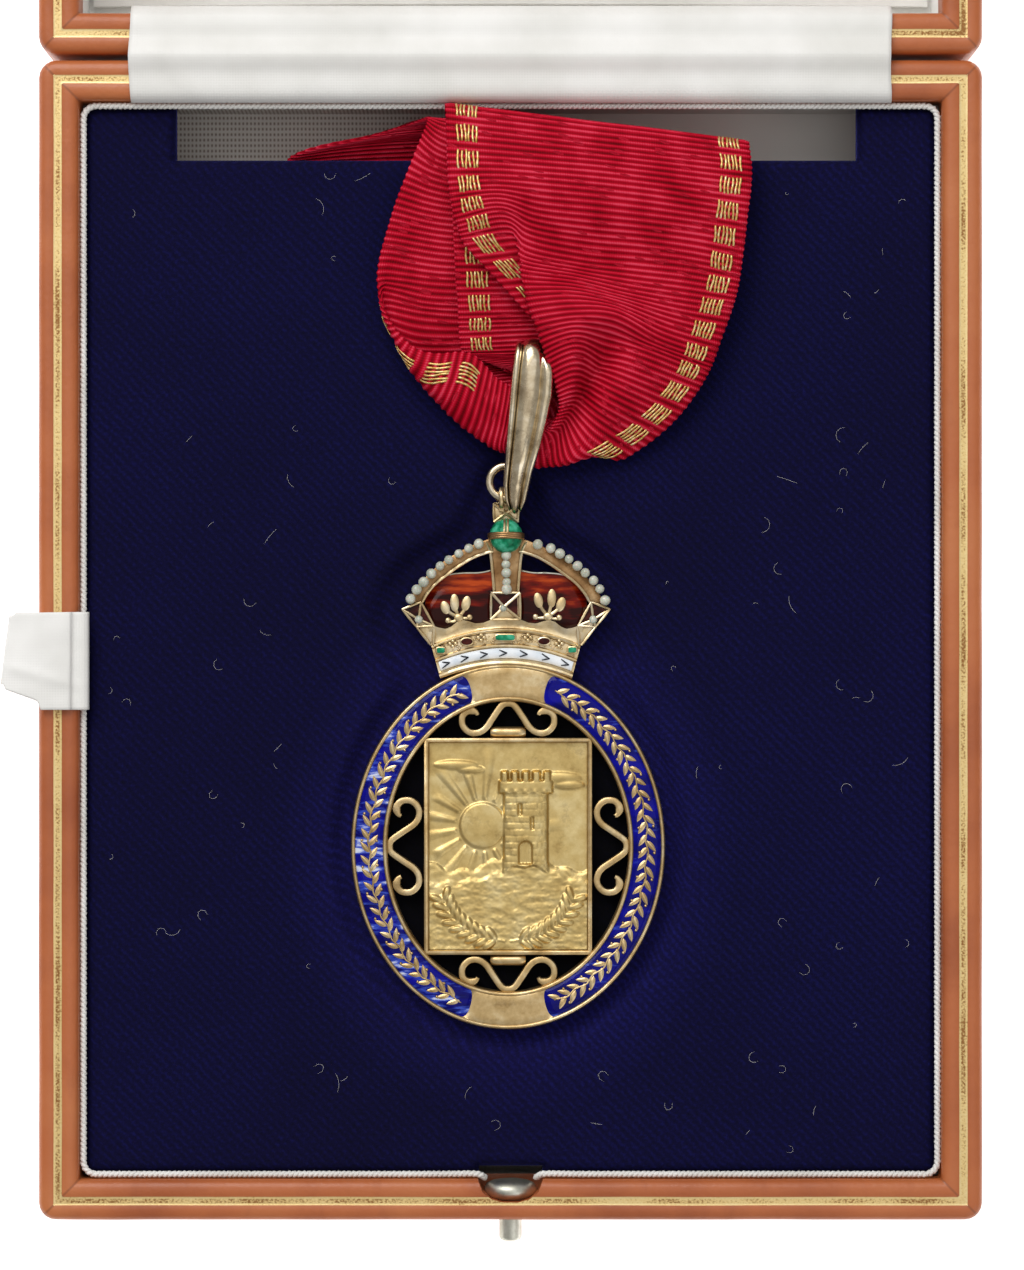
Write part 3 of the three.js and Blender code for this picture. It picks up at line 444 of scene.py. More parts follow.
# Gilt metal thread: flat gold strip wound on silk, bright with a broken sparkle
def giltThread():
    made, tree, shader = startMaterial("giltThread", {"Roughness": 0.4, "Metallic": 0.7})
    at = objectPlace(tree)
    winding = addNoise(tree, at, 0.5, 2.0)
    colour = addNode(tree, "ValToRGB", {"Fac": winding.outputs["Fac"]},
                     [(0.3, "#C08A3C"), (0.55, "#E6C27A"), (0.75, "#FBE9B8")])
    tree.links.new(colour.outputs[0], shader.inputs["Base Color"])
    return made


# Silver-gilt, cast and chased, old: warm gold on the high places, brown tarnish held in the hollows
def silverGilt(name, tones, tarnish, reach, rough):
    made, tree, shader = startMaterial(name, {"Roughness": rough, "Metallic": 1.0})
    at = objectPlace(tree)
    tone = addNoise(tree, at, 3.2, 6.0, roughness=0.65)
    gold = addNode(tree, "ValToRGB", {"Fac": tone.outputs["Fac"]},
                   [(0.3, tones[0]), (0.5, tones[1]), (0.7, tones[2])])
    hollow = addNode(tree, "AmbientOcclusion", {"Distance": reach * mm}, samples=8, only_local=True)
    held = addNode(tree, "MapRange",
                   {"Value": hollow.outputs["AO"], "From Min": 0.15, "From Max": 0.7, "To Min": 0.75, "To Max": 0.0})
    stain = addNoise(tree, at, 2.1, 5.0, roughness=0.7)
    brown = addNode(tree, "MapRange", {"Value": stain.outputs["Fac"], "From Min": 0.56, "From Max": 0.74,
                                       "To Max": 0.45})
    most = addMath(tree, "MAXIMUM", held.outputs[0], brown.outputs[0])
    dirty = addNode(tree, "Mix", {0: most.outputs[0], 6: gold.outputs[0], 7: hexColour(tarnish)}, data_type="RGBA")
    tree.links.new(dirty.outputs[2], shader.inputs["Base Color"])
    grit = addNoise(tree, at, 0.3, 3.0)
    addBump(tree, shader, 0.3, 0.025, grit.outputs["Fac"])
    polish = addNode(tree, "MapRange", {"Value": tone.outputs["Fac"], "From Min": 0.3, "From Max": 0.7,
                                        "To Min": rough + 0.1, "To Max": rough - 0.06})
    tree.links.new(polish.outputs[0], shader.inputs["Roughness"])
    return made


# Vitreous enamel fired on metal: deep glassy colour under a hard gloss; worn places let the metal show pale
def glassEnamel(name, tones, spread, stretch, worn=None, rise=None, turn=0.0):
    made, tree, shader = startMaterial(name, {"Roughness": 0.1, "IOR": 1.5, "Specular IOR Level": 0.14})
    at = objectPlace(tree)
    drawn = addNode(tree, "Mapping", {"Vector": at, "Scale": stretch, "Rotation": (0.0, 0.0, turn)})
    cloud = addNoise(tree, drawn.outputs[0], spread, 3.0)
    colour = addNode(tree, "ValToRGB", {"Fac": cloud.outputs["Fac"]},
                     [(0.32, tones[0]), (0.5, tones[1]), (0.68, tones[2])])
    if rise:
        # darker towards the foot, lighter towards the top
        place = addNode(tree, "SeparateXYZ", {0: at})
        tall = addNode(tree, "MapRange", {"Value": place.outputs[1], "From Min": rise[0] * mm, "From Max": rise[1] * mm,
                                          "To Min": -0.26, "To Max": 0.16})
        total = addMath(tree, "ADD", cloud.outputs["Fac"], tall.outputs[0])
        tree.links.new(total.outputs[0], colour.inputs["Fac"])
    result = colour.outputs[0]
    if worn:
        flake = addNoise(tree, drawn.outputs[0], worn["size"], 5.0)
        split = addNode(tree, "SeparateXYZ", {0: at})
        side = addNode(tree, "MapRange", {"Value": split.outputs[0], "From Min": worn["from"] * mm,
                                          "From Max": worn["to"] * mm, "To Min": 0.09, "To Max": -0.1})
        chance = addMath(tree, "ADD", flake.outputs["Fac"], side.outputs[0])
        pale = addNode(tree, "MapRange", {"Value": chance.outputs[0], "From Min": 0.55, "From Max": 0.68})
        light = addNode(tree, "Mix", {0: pale.outputs[0], 6: result, 7: hexColour(worn["light"])}, data_type="RGBA")
        bare = addNode(tree, "MapRange", {"Value": chance.outputs[0], "From Min": 0.66, "From Max": 0.74})
        silver = addNode(tree, "Mix", {0: bare.outputs[0], 6: light.outputs[2], 7: hexColour(worn["bare"])},
                         data_type="RGBA")
        result = silver.outputs[2]
    tree.links.new(result, shader.inputs["Base Color"])
    ripple = addNoise(tree, at, 1.1, 2.0)
    addBump(tree, shader, 0.25, 0.05, ripple.outputs["Fac"])
    return made


# Seed pearl: soft grey-white nacre, a satin glow rather than a hard gloss
def seedPearl():
    made, tree, shader = startMaterial("seedPearl", {
        "Roughness": 0.3, "Coat Weight": 0.35, "Coat Roughness": 0.15, "Subsurface Weight": 0.15,
        "Subsurface Scale": 0.4 * mm})
    at = objectPlace(tree)
    tone = addNoise(tree, at, 0.9, 3.0)
    colour = addNode(tree, "ValToRGB", {"Fac": tone.outputs["Fac"]}, [(0.3, "#A6AA98"), (0.7, "#DADACB")])
    tree.links.new(colour.outputs[0], shader.inputs["Base Color"])
    return made


# Lining over board, warm grey: rows of small woven dots at the left, worn plain and paler at the right
def liningPaper():
    made, tree, shader = startMaterial("liningPaper", {"Roughness": 0.85})
    at = objectPlace(tree)
    across = addBands(tree, at, 0.5, "X", 0.3)
    down = addBands(tree, at, 0.7, "Y", 0.3)
    weave = addMath(tree, "MULTIPLY", across.outputs["Fac"], down.outputs["Fac"])
    place = addNode(tree, "SeparateXYZ", {0: at})
    side = addNode(tree, "MapRange", {"Value": place.outputs[0], "From Min": -10 * mm, "From Max": 0.0,
                                      "To Min": 1.0, "To Max": 0.0})
    dots = addMath(tree, "MULTIPLY", weave.outputs[0], side.outputs[0])
    colour = addNode(tree, "ValToRGB", {"Fac": dots.outputs[0]},
                     [(0.0, "#F6F2EC"), (0.4, "#E4D8CE"), (0.9, "#9C8E84")])
    tree.links.new(colour.outputs[0], shader.inputs["Base Color"])
    addBump(tree, shader, 0.4, 0.06, dots.outputs[0])
    return made


velvet = silkVelvet()
satin = silkSatin("silkSatin", "#E4E2DC", 0.34)
cordSilk = silkSatin("twistedSilkCord", "#D9D6CF", 0.3)
leafBright = goldLeaf("goldLeafEdge", 0.3)
leafRubbed = goldLeaf("goldLeafRubbed", 0.42)
gilt = silverGilt("chasedSilverGilt", ("#AC8C58", "#CFB280", "#EAD6AC"), "#4A2E14", 0.7, 0.36)
# the crown's silver-gilt: the same gilt in lighter tones, a painted highlight standing in for the light its upward
# faces reflect
brightenedCrownGilt = silverGilt("paleSilverGilt", ("#C4A676", "#E6CFA2", "#FBECCF"), "#6A4626", 0.5, 0.38)
tarnishedGilt = silverGilt("tarnishedSilverGilt", ("#7A5836", "#A88258", "#CDAC80"), "#3A2412", 0.8, 0.4)
reliefGilt = silverGilt("struckSilverGilt", ("#BB9E62", "#D3B87A", "#E6D098"), "#6A4A24", 0.7, 0.4)
wornGilt = silverGilt("rubbedSilverGilt", ("#A08C70", "#D6C4A4", "#F4E8D0"), "#33261A", 1.0, 0.22)
claspMetal = silverGilt("nickelBrass", ("#B4B2A0", "#D6D4C6", "#F0EEE4"), "#5E7A74", 0.6, 0.42)
blueEnamel = glassEnamel("blueEnamel", ("#040350", "#070676", "#0E0C94"), 3.0, (0.45, 1.9, 1.0),
                         {"size": 1.6, "from": -19, "to": 17, "light": "#3F58C8", "bare": "#D2D8EA"}, None, 0.9)
redEnamel = glassEnamel("redEnamel", ("#2C0704", "#741206", "#C24A18"), 1.6, (0.35, 1.6, 1.0), None, (3.0, 8.4))
darkRed = glassEnamel("darkRedEnamel", ("#260A08", "#3C120E", "#522018"), 0.8, (1.0, 1.0, 1.0))
greenEnamel = glassEnamel("greenEnamel", ("#0A5A3C", "#1C8C62", "#52BC98"), 1.0, (1.0, 1.0, 1.0))
whiteEnamel = glassEnamel("whiteEnamel", ("#DCE4EC", "#EDF1F5", "#F6F8FA"), 1.6, (1.0, 1.0, 1.0))
blackEnamel = glassEnamel("blackEnamel", ("#1C2026", "#2A2E36", "#3A4048"), 0.8, (1.0, 1.0, 1.0))
pearlNacre = seedPearl()
paper = liningPaper()
goldThread = giltThread()
print("materials made")

# Case: two leather-covered trays that shut on each other
case = {
    "halfX": 59.0, "halfY": 72.5, "lidY": 145.75, "corner": 2.2, "hingeY": 72.875, "hingeZ": 18.3, "sideSteps": 30,
    # (in from the outside, up, finish of the band that ends here): 0 leather, 1 bright leaf, 2 rubbed leaf, 3 lining
    "profile": [
        (1.2, 0.0, 0), (0.35, 0.1, 0), (0.0, 0.6, 0), (0.0, 9.0, 0), (0.0, 16.5, 0), (0.07, 17.1, 0), (0.28, 17.6, 0),
        (0.7, 17.92, 0), (1.2, 18.0, 0), (1.86, 18.0, 0), (1.96, 17.93, 0), (2.22, 17.94, 1), (2.74, 17.92, 2),
        (3.0, 17.94, 1), (3.08, 18.0, 0), (4.1, 17.98, 0), (4.6, 17.82, 0), (4.95, 17.45, 0), (5.1, 16.9, 0),
        (5.1, 12.0, 3), (5.1, 2.0, 3),
    ],
}


def trayLoop(inset):
    # A rounded rectangle with its long sides divided, so that the rim can waver a little
    halfX, halfY = case["halfX"] - inset, case["halfY"] - inset
    radius, sideSteps = max(case["corner"] - inset, 0.25), case["sideSteps"]
    loop = []
    for cornerX, cornerY, start in ((1, -1, -90), (1, 1, 0), (-1, 1, 90), (-1, -1, 180)):
        for step in range(6):
            turn = math.radians(start + step * 18)
            loop.append((cornerX * (halfX - radius) + radius * math.cos(turn),
                         cornerY * (halfY - radius) + radius * math.sin(turn)))
        nextX, nextY = {(1, -1): (1, 1), (1, 1): (-1, 1), (-1, 1): (-1, -1), (-1, -1): (1, -1)}[(cornerX, cornerY)]
        fromX, fromY = loop[-1]
        toX = nextX * halfX if nextX == cornerX else nextX * (halfX - radius)
        toY = nextY * halfY if nextY == cornerY else nextY * (halfY - radius)
        for step in range(1, sideSteps):
            loop.append((fromX + (toX - fromX) * step / sideSteps, fromY + (toY - fromY) * step / sideSteps))
    return loop


def tray(centreY, lining):
    rows = []
    for inset, z, _ in case["profile"]:
        row = []
        for x, y in trayLoop(inset):
            waver = noise.noise((x * 0.11, (y + centreY) * 0.11, inset * 0.3)) * 0.06 if z > 16 else 0
            row.append((x * (1 - waver / 59), y * (1 - waver / 72) + centreY, z))
        rows.append(row)
    bm = skin(rows, around=True, capped=True)
    for face in bm.faces:
        middle = face.calc_center_median()
        inset = min(case["halfX"] - abs(middle.x), case["halfY"] - abs(middle.y - centreY))
        face.material_index = 0
        if middle.z > 17.8:
            for (a, _, _), (b, _, finish) in zip(case["profile"][8:15], case["profile"][9:16]):
                if a - 0.02 < inset < b + 0.02:
                    face.material_index = finish
        elif inset > 4.9 and 1.0 < middle.z < 11.9:
            face.material_index = lining
    return bm


def hingeCuts():
    # room for each hinge barrel in the two back rims
    half, radius, places = 6.6, 1.05, (-30, 30)
    return [tube([(x + dx, case["hingeY"], case["hingeZ"]) for dx in (-half, 0, half)], radius, 16, tip=1.0)
            for x in places]


catch = {"face": -67.95, "z": 14.3}
leatherBase = calfLeather("calfLeatherBase", 0)
leatherLid = calfLeather("calfLeatherLid", case["lidY"])
caseBase = finishPiece("caseBase", [(tray(0, 3), -1)], [leatherBase, leafBright, leafRubbed, paper], "case",
                       ["case_base"], 50)
pocket = plate([(-3.5, -68.9), (-2.4, -69.8), (-1, -70.2), (1, -70.2), (2.4, -69.8), (3.5, -68.9), (4.4, -66.6),
                (-4.4, -66.6)], 10.6, 19.5)
bore = tube([(0, -76, catch["z"]), (0, -72, catch["z"]), (0, -69, catch["z"])], 1.7, 20, tip=1.0)
carve(caseBase, hingeCuts() + [pocket, bore])
lidShell = finishPiece("lidShell", [(tray(case["lidY"], 3), -1)], [leatherLid, leafBright, leafRubbed, satin], "lid",
                       ["lid_shell"], 50)
carve(lidShell, hingeCuts())
for name in ("hinge_barrel_left", "hinge_barrel_right"):
    barrel = bpy.data.objects[name]
    barrel.data.materials.clear()
    barrel.data.materials.append(claspMetal)
print("case built")

# The push catch: a domed disc on a stem that comes out through the front rim
clasp = lathe([(0, 0.35), (1.3, 0.3), (2.3, 0.12), (2.95, -0.2), (3.22, -0.6), (3.3, -1.0), (3.2, -1.4), (2.85, -1.8),
               (2.2, -2.15), (1.4, -2.4), (1.4, -6.9), (1.25, -7.25), (0.9, -7.4), (0, -7.4)],
              (0, catch["face"], catch["z"]), (0, 1, 0))
finishPiece("pushCatch", [(clasp, 0)], [claspMetal], "case", ["clasp"], 45)

# Velvet pad: a board in padded velvet, open at the back for the ribbon, with a shallow bed for the badge
padded = {"halfX": 53.4, "halfY": 66.9, "top": 15.5, "under": 11.9, "bed": 1.45, "ease": 2.6,
          "slot": (-42.0, 43.5, 60.2), "notch": (4.0, -66.0), "roll": 1.3}


def bedDistance(x, y):
    # How far a point lies outside the badge's outline, roughly
    hoop = (np.hypot((x + 0.3) / 20.4, (y + 25.83) / 23.6) - 1) * 20.4
    crownBody = (np.hypot((x + 0.5) / 14.4, (y - 3.0) / 9.8) - 1) * 9.8
    neck = (np.hypot((x + 0.6) / 3.4, (y - 14.5) / 5.2) - 1) * 3.4
    spread = 1.6
    return -spread * np.log(np.exp(-hoop / spread) + np.exp(-crownBody / spread) + np.exp(-neck / spread))


def padHeight(x, y):
    left, right, front = padded["slot"]
    toSide = np.minimum(padded["halfX"] - np.abs(x), padded["halfY"] - np.abs(y))
    toSlot = np.hypot(np.maximum(np.maximum(left - x, x - right), 0), np.maximum(front - y, 0))
    toNotch = np.hypot(np.maximum(np.abs(x) - padded["notch"][0], 0), np.maximum(y - padded["notch"][1], 0))
    near = np.minimum(np.minimum(toSide, toSlot), toNotch)
    roll = padded["roll"]
    drop = roll - np.sqrt(np.maximum(roll ** 2 - (roll - np.minimum(near, roll)) ** 2, 0))
    bed = padded["bed"] * (1 - smoothStep(0.2, padded["ease"], bedDistance(x, y)))
    return padded["top"] - np.minimum(drop, roll) - bed


left, right, front = padded["slot"]
notchX, notchY = padded["notch"]
columns = np.unique(np.round(np.concatenate([
    np.linspace(-padded["halfX"], left, 22), np.linspace(left, -notchX, 70),
    np.linspace(-notchX, notchX, 18), np.linspace(notchX, right, 72), np.linspace(right, padded["halfX"], 20)]), 4))
lines = np.unique(np.round(np.concatenate([
    np.linspace(-padded["halfY"], notchY, 4), np.linspace(notchY, front, 226),
    np.linspace(front, padded["halfY"], 14)]), 4))
spots = np.array([[(x, y, 0.0) for x in columns] for y in lines])
spots[:, :, 2] = padHeight(spots[:, :, 0], spots[:, :, 1])
for row in spots:
    for spot in row:
        spot[2] += 0.05 * noise.noise((spot[0] * 0.09, spot[1] * 0.09, 3.0)) if spot[2] > 14.6 else 0
bm = skin(spots)
gone = []
for face in bm.faces:
    middle = face.calc_center_median()
    if (left < middle.x < right and middle.y > front) or (abs(middle.x) < notchX and middle.y < notchY):
        gone.append(face)
bmesh.ops.delete(bm, geom=gone, context="FACES")
closeUnder(bm, padded["under"])
velvetPad = finishPiece("velvetPad", [(bm, 0)], [velvet], "case", ["pad"], 0)

# Lint: short pale fibres caught in the pile
lint = {"count": 70, "length": (0.6, 2.8), "thick": 0.012, "x": (-51, 51), "y": (-64, 58), "clear": 3}
fibres = []
while len(fibres) < lint["count"]:
    x, y = random.uniform(*lint["x"]), random.uniform(*lint["y"])
    underRibbon = -18 < x < 31 and y > 20
    if bedDistance(np.array(x), np.array(y)) < lint["clear"] or underRibbon:
        continue
    turn, bend, long = random.uniform(0, 6.3), random.uniform(-2.4, 2.4), random.uniform(*lint["length"])
    path = []
    for t in np.linspace(-0.5, 0.5, 6):
        angle = turn + bend * t
        px, py = x + long * t * math.cos(angle), y + long * t * math.sin(angle)
        path.append((px, py, float(padHeight(np.array(px), np.array(py))) + 0.06))
    fibres.append((tube(path, lint["thick"], 4), 0))
finishPiece("lint", fibres, [cordSilk], "case", (), 0)

# Twisted two-ply cord laid round the pad; it stops at both sides of the catch and turns down there
cord = {"halfX": 53.45, "halfY": 66.85, "corner": 1.6, "z": 16.2, "gap": 3.9, "pitch": 1.25, "ply": 0.27, "offset": 0.2}
half = [(cord["gap"] - 0.7, -67.5, 14.2), (cord["gap"] - 0.4, -67.2, 15.4), (cord["gap"] + 0.6, -66.8, 16.2)]
corner = cord["corner"]
cornerPoints = []
for cx, cy, start in ((1, -1, -90), (1, 1, 0)):
    for step in range(7):
        turn = math.radians(start + 15 * step)
        cornerPoints.append((cx * (cord["halfX"] - corner) + corner * math.cos(turn),
                             cy * (cord["halfY"] - corner) + corner * math.sin(turn), cord["z"]))
half += [(10, -cord["halfY"], cord["z"]), (30, -cord["halfY"], cord["z"]), (50, -cord["halfY"], cord["z"])]
half += cornerPoints[:7] + [(cord["halfX"], y, cord["z"]) for y in (-62, -40, -20, 0, 20, 40, 62)] + cornerPoints[7:]
half += [(x, cord["halfY"], cord["z"]) for x in (50, 36, 20)]
loop = half + [(0, cord["halfY"], cord["z"])] + [(-x, y, z) for x, y, z in half[::-1]]
route = curveThrough(loop, 2000)
points, sides, ups = framesAlong(route, False)
run = np.concatenate([[0], np.cumsum(np.linalg.norm(np.diff(points, axis=0), axis=1))])
plies = []
for ply in range(2):
    twist = run / cord["pitch"] * 2 * math.pi + ply * math.pi
    path = points + cord["offset"] * (np.cos(twist)[:, None] * sides + np.sin(twist)[:, None] * ups)
    plies.append((tube(path, cord["ply"], 6), 0))
finishPiece("edgeCord", plies, [cordSilk], "case", ["pad_piping"], 0)
print("pad and cord laid")

# Satin flap: covers the hinge from rim to rim, its two ends tucked inside
flap = {"halfX": 47.5, "thick": 0.36,
        "line": [(67.1, 17.1), (67.5, 17.9), (68.4, 18.5), (70.6, 18.75), (72.0, 19.35), (72.9, 19.6), (73.8, 19.35),
                 (75.2, 18.75), (77.0, 18.65), (78.3, 18.2), (79.3, 16.4), (79.6, 13.5), (79.6, 10.3)]}
line = curveThrough([(0, y, z) for y, z in flap["line"]], 60)
rows = []
for k, (_, y, z) in enumerate(line):
    row = []
    for x in np.linspace(-flap["halfX"], flap["halfX"], 170):
        ease = min(k / 8, 1.0) * (1 - abs(x / flap["halfX"]) ** 14 * 0.5)
        fold = 0.22 * noise.noise((x * 0.06 + 5, y * 0.05, 1.0)) + 0.1 * noise.noise((x * 0.22, y * 0.1, 4.0))
        fold += (0.14 * math.exp(-((x + 41 + (y - 70) * 0.7) / 1.3) ** 2)
                 + 0.12 * math.exp(-((x - 38 + (y - 70) * 0.4) / 1.6) ** 2))
        row.append((x + 0.12 * math.sin(y * 0.5), y, z + ease * (fold + 0.12)))
    rows.append(row)
bm = thickened(rows, flap["thick"])
satinFlap = finishPiece("satinFlap", [(bm, 0)], [satin], None, ["hinge_flap"], 0)
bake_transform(satinFlap)

# Lift tab: a satin strip doubled over the left rim
pull = {"thick": 0.3,
        "line": [(-52.6, 17.5), (-53.2, 18.05), (-54.7, 18.3), (-55.1, 18.85), (-58.5, 19.1), (-61.4, 18.9),
                 (-63.1, 18.5), (-63.5, 18.2), (-62.9, 17.95), (-61.2, 18.15), (-59.2, 18.3)]}
line = curveThrough([(x, 0, z) for x, z in pull["line"]], 46)
rows = []
for k, (x, _, z) in enumerate(line):
    out = float(smoothStep(-53, -63.5, x))
    low = float(np.interp(x, (-63.5, -58.8, -58.4), (-5.9, -7.6, -8.7)))
    high = 3.5 - 0.1 * out
    if k > 30:
        low, high = low + 0.5, high - 0.4
    row = []
    for s in np.linspace(0, 1, 34):
        y = low + (high - low) * s
        slant = (0.9 * out) * (s - 0.2)
        fold = 0.2 * noise.noise((x * 0.3, y * 0.35, 9.0)) + 0.18 * math.exp(-((y + 4.6 + 0.25 * (x + 58)) / 0.7) ** 2)
        row.append((x + slant * (1.4 if k < 31 else 1.2), y, z + (fold if k < 30 else fold * 0.5) * min(1, k / 6)))
    rows.append(row)
bm = thickened(rows, pull["thick"])
liftTab = finishPiece("liftTab", [(bm, 0)], [satin], "case", ["lift_tab"], 0)
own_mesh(liftTab)

# Lid lining: a satin cushion laid in the lid, crowned, its sides drawn in a little between the corners
cushion = {"halfX": 53.3, "halfY": 64.8, "low": 2.3, "edge": 3.6, "crown": 5.3}
rows = []
for t in np.linspace(-1, 1, 120):
    row = []
    for s in np.linspace(-1, 1, 100):
        x = cushion["halfX"] * s * (1 - 0.006 * (1 - t * t))
        y = cushion["halfY"] * t * (1 - 0.006 * (1 - s * s)) + case["lidY"]
        rim = min(cushion["halfX"] * (1 - abs(s)), cushion["halfY"] * (1 - abs(t)))
        swell = 1 - math.exp(-rim / 3.5)
        z = cushion["edge"] + (cushion["crown"] - cushion["edge"]) * swell
        z += 0.12 * swell * noise.noise((x * 0.07, y * 0.07, 2.0)) - 0.05
        row.append((x, y, min(z, cushion["crown"])))
    rows.append(row)
bm = skin(rows)
closeUnder(bm, cushion["low"])
lidLining = finishPiece("lidLining", [(bm, 0)], [satin], "lid", ["lid_lining"], 60)
print("satin pieces made")

# Ribbon: one long loop of grosgrain, threaded through the bail and run under the pad and back
ribbon = {"width": 38.1, "thick": 0.42, "rib": 0.745, "ribHeight": 0.11, "bead": 0.07, "columns": 60, "step": 0.19}
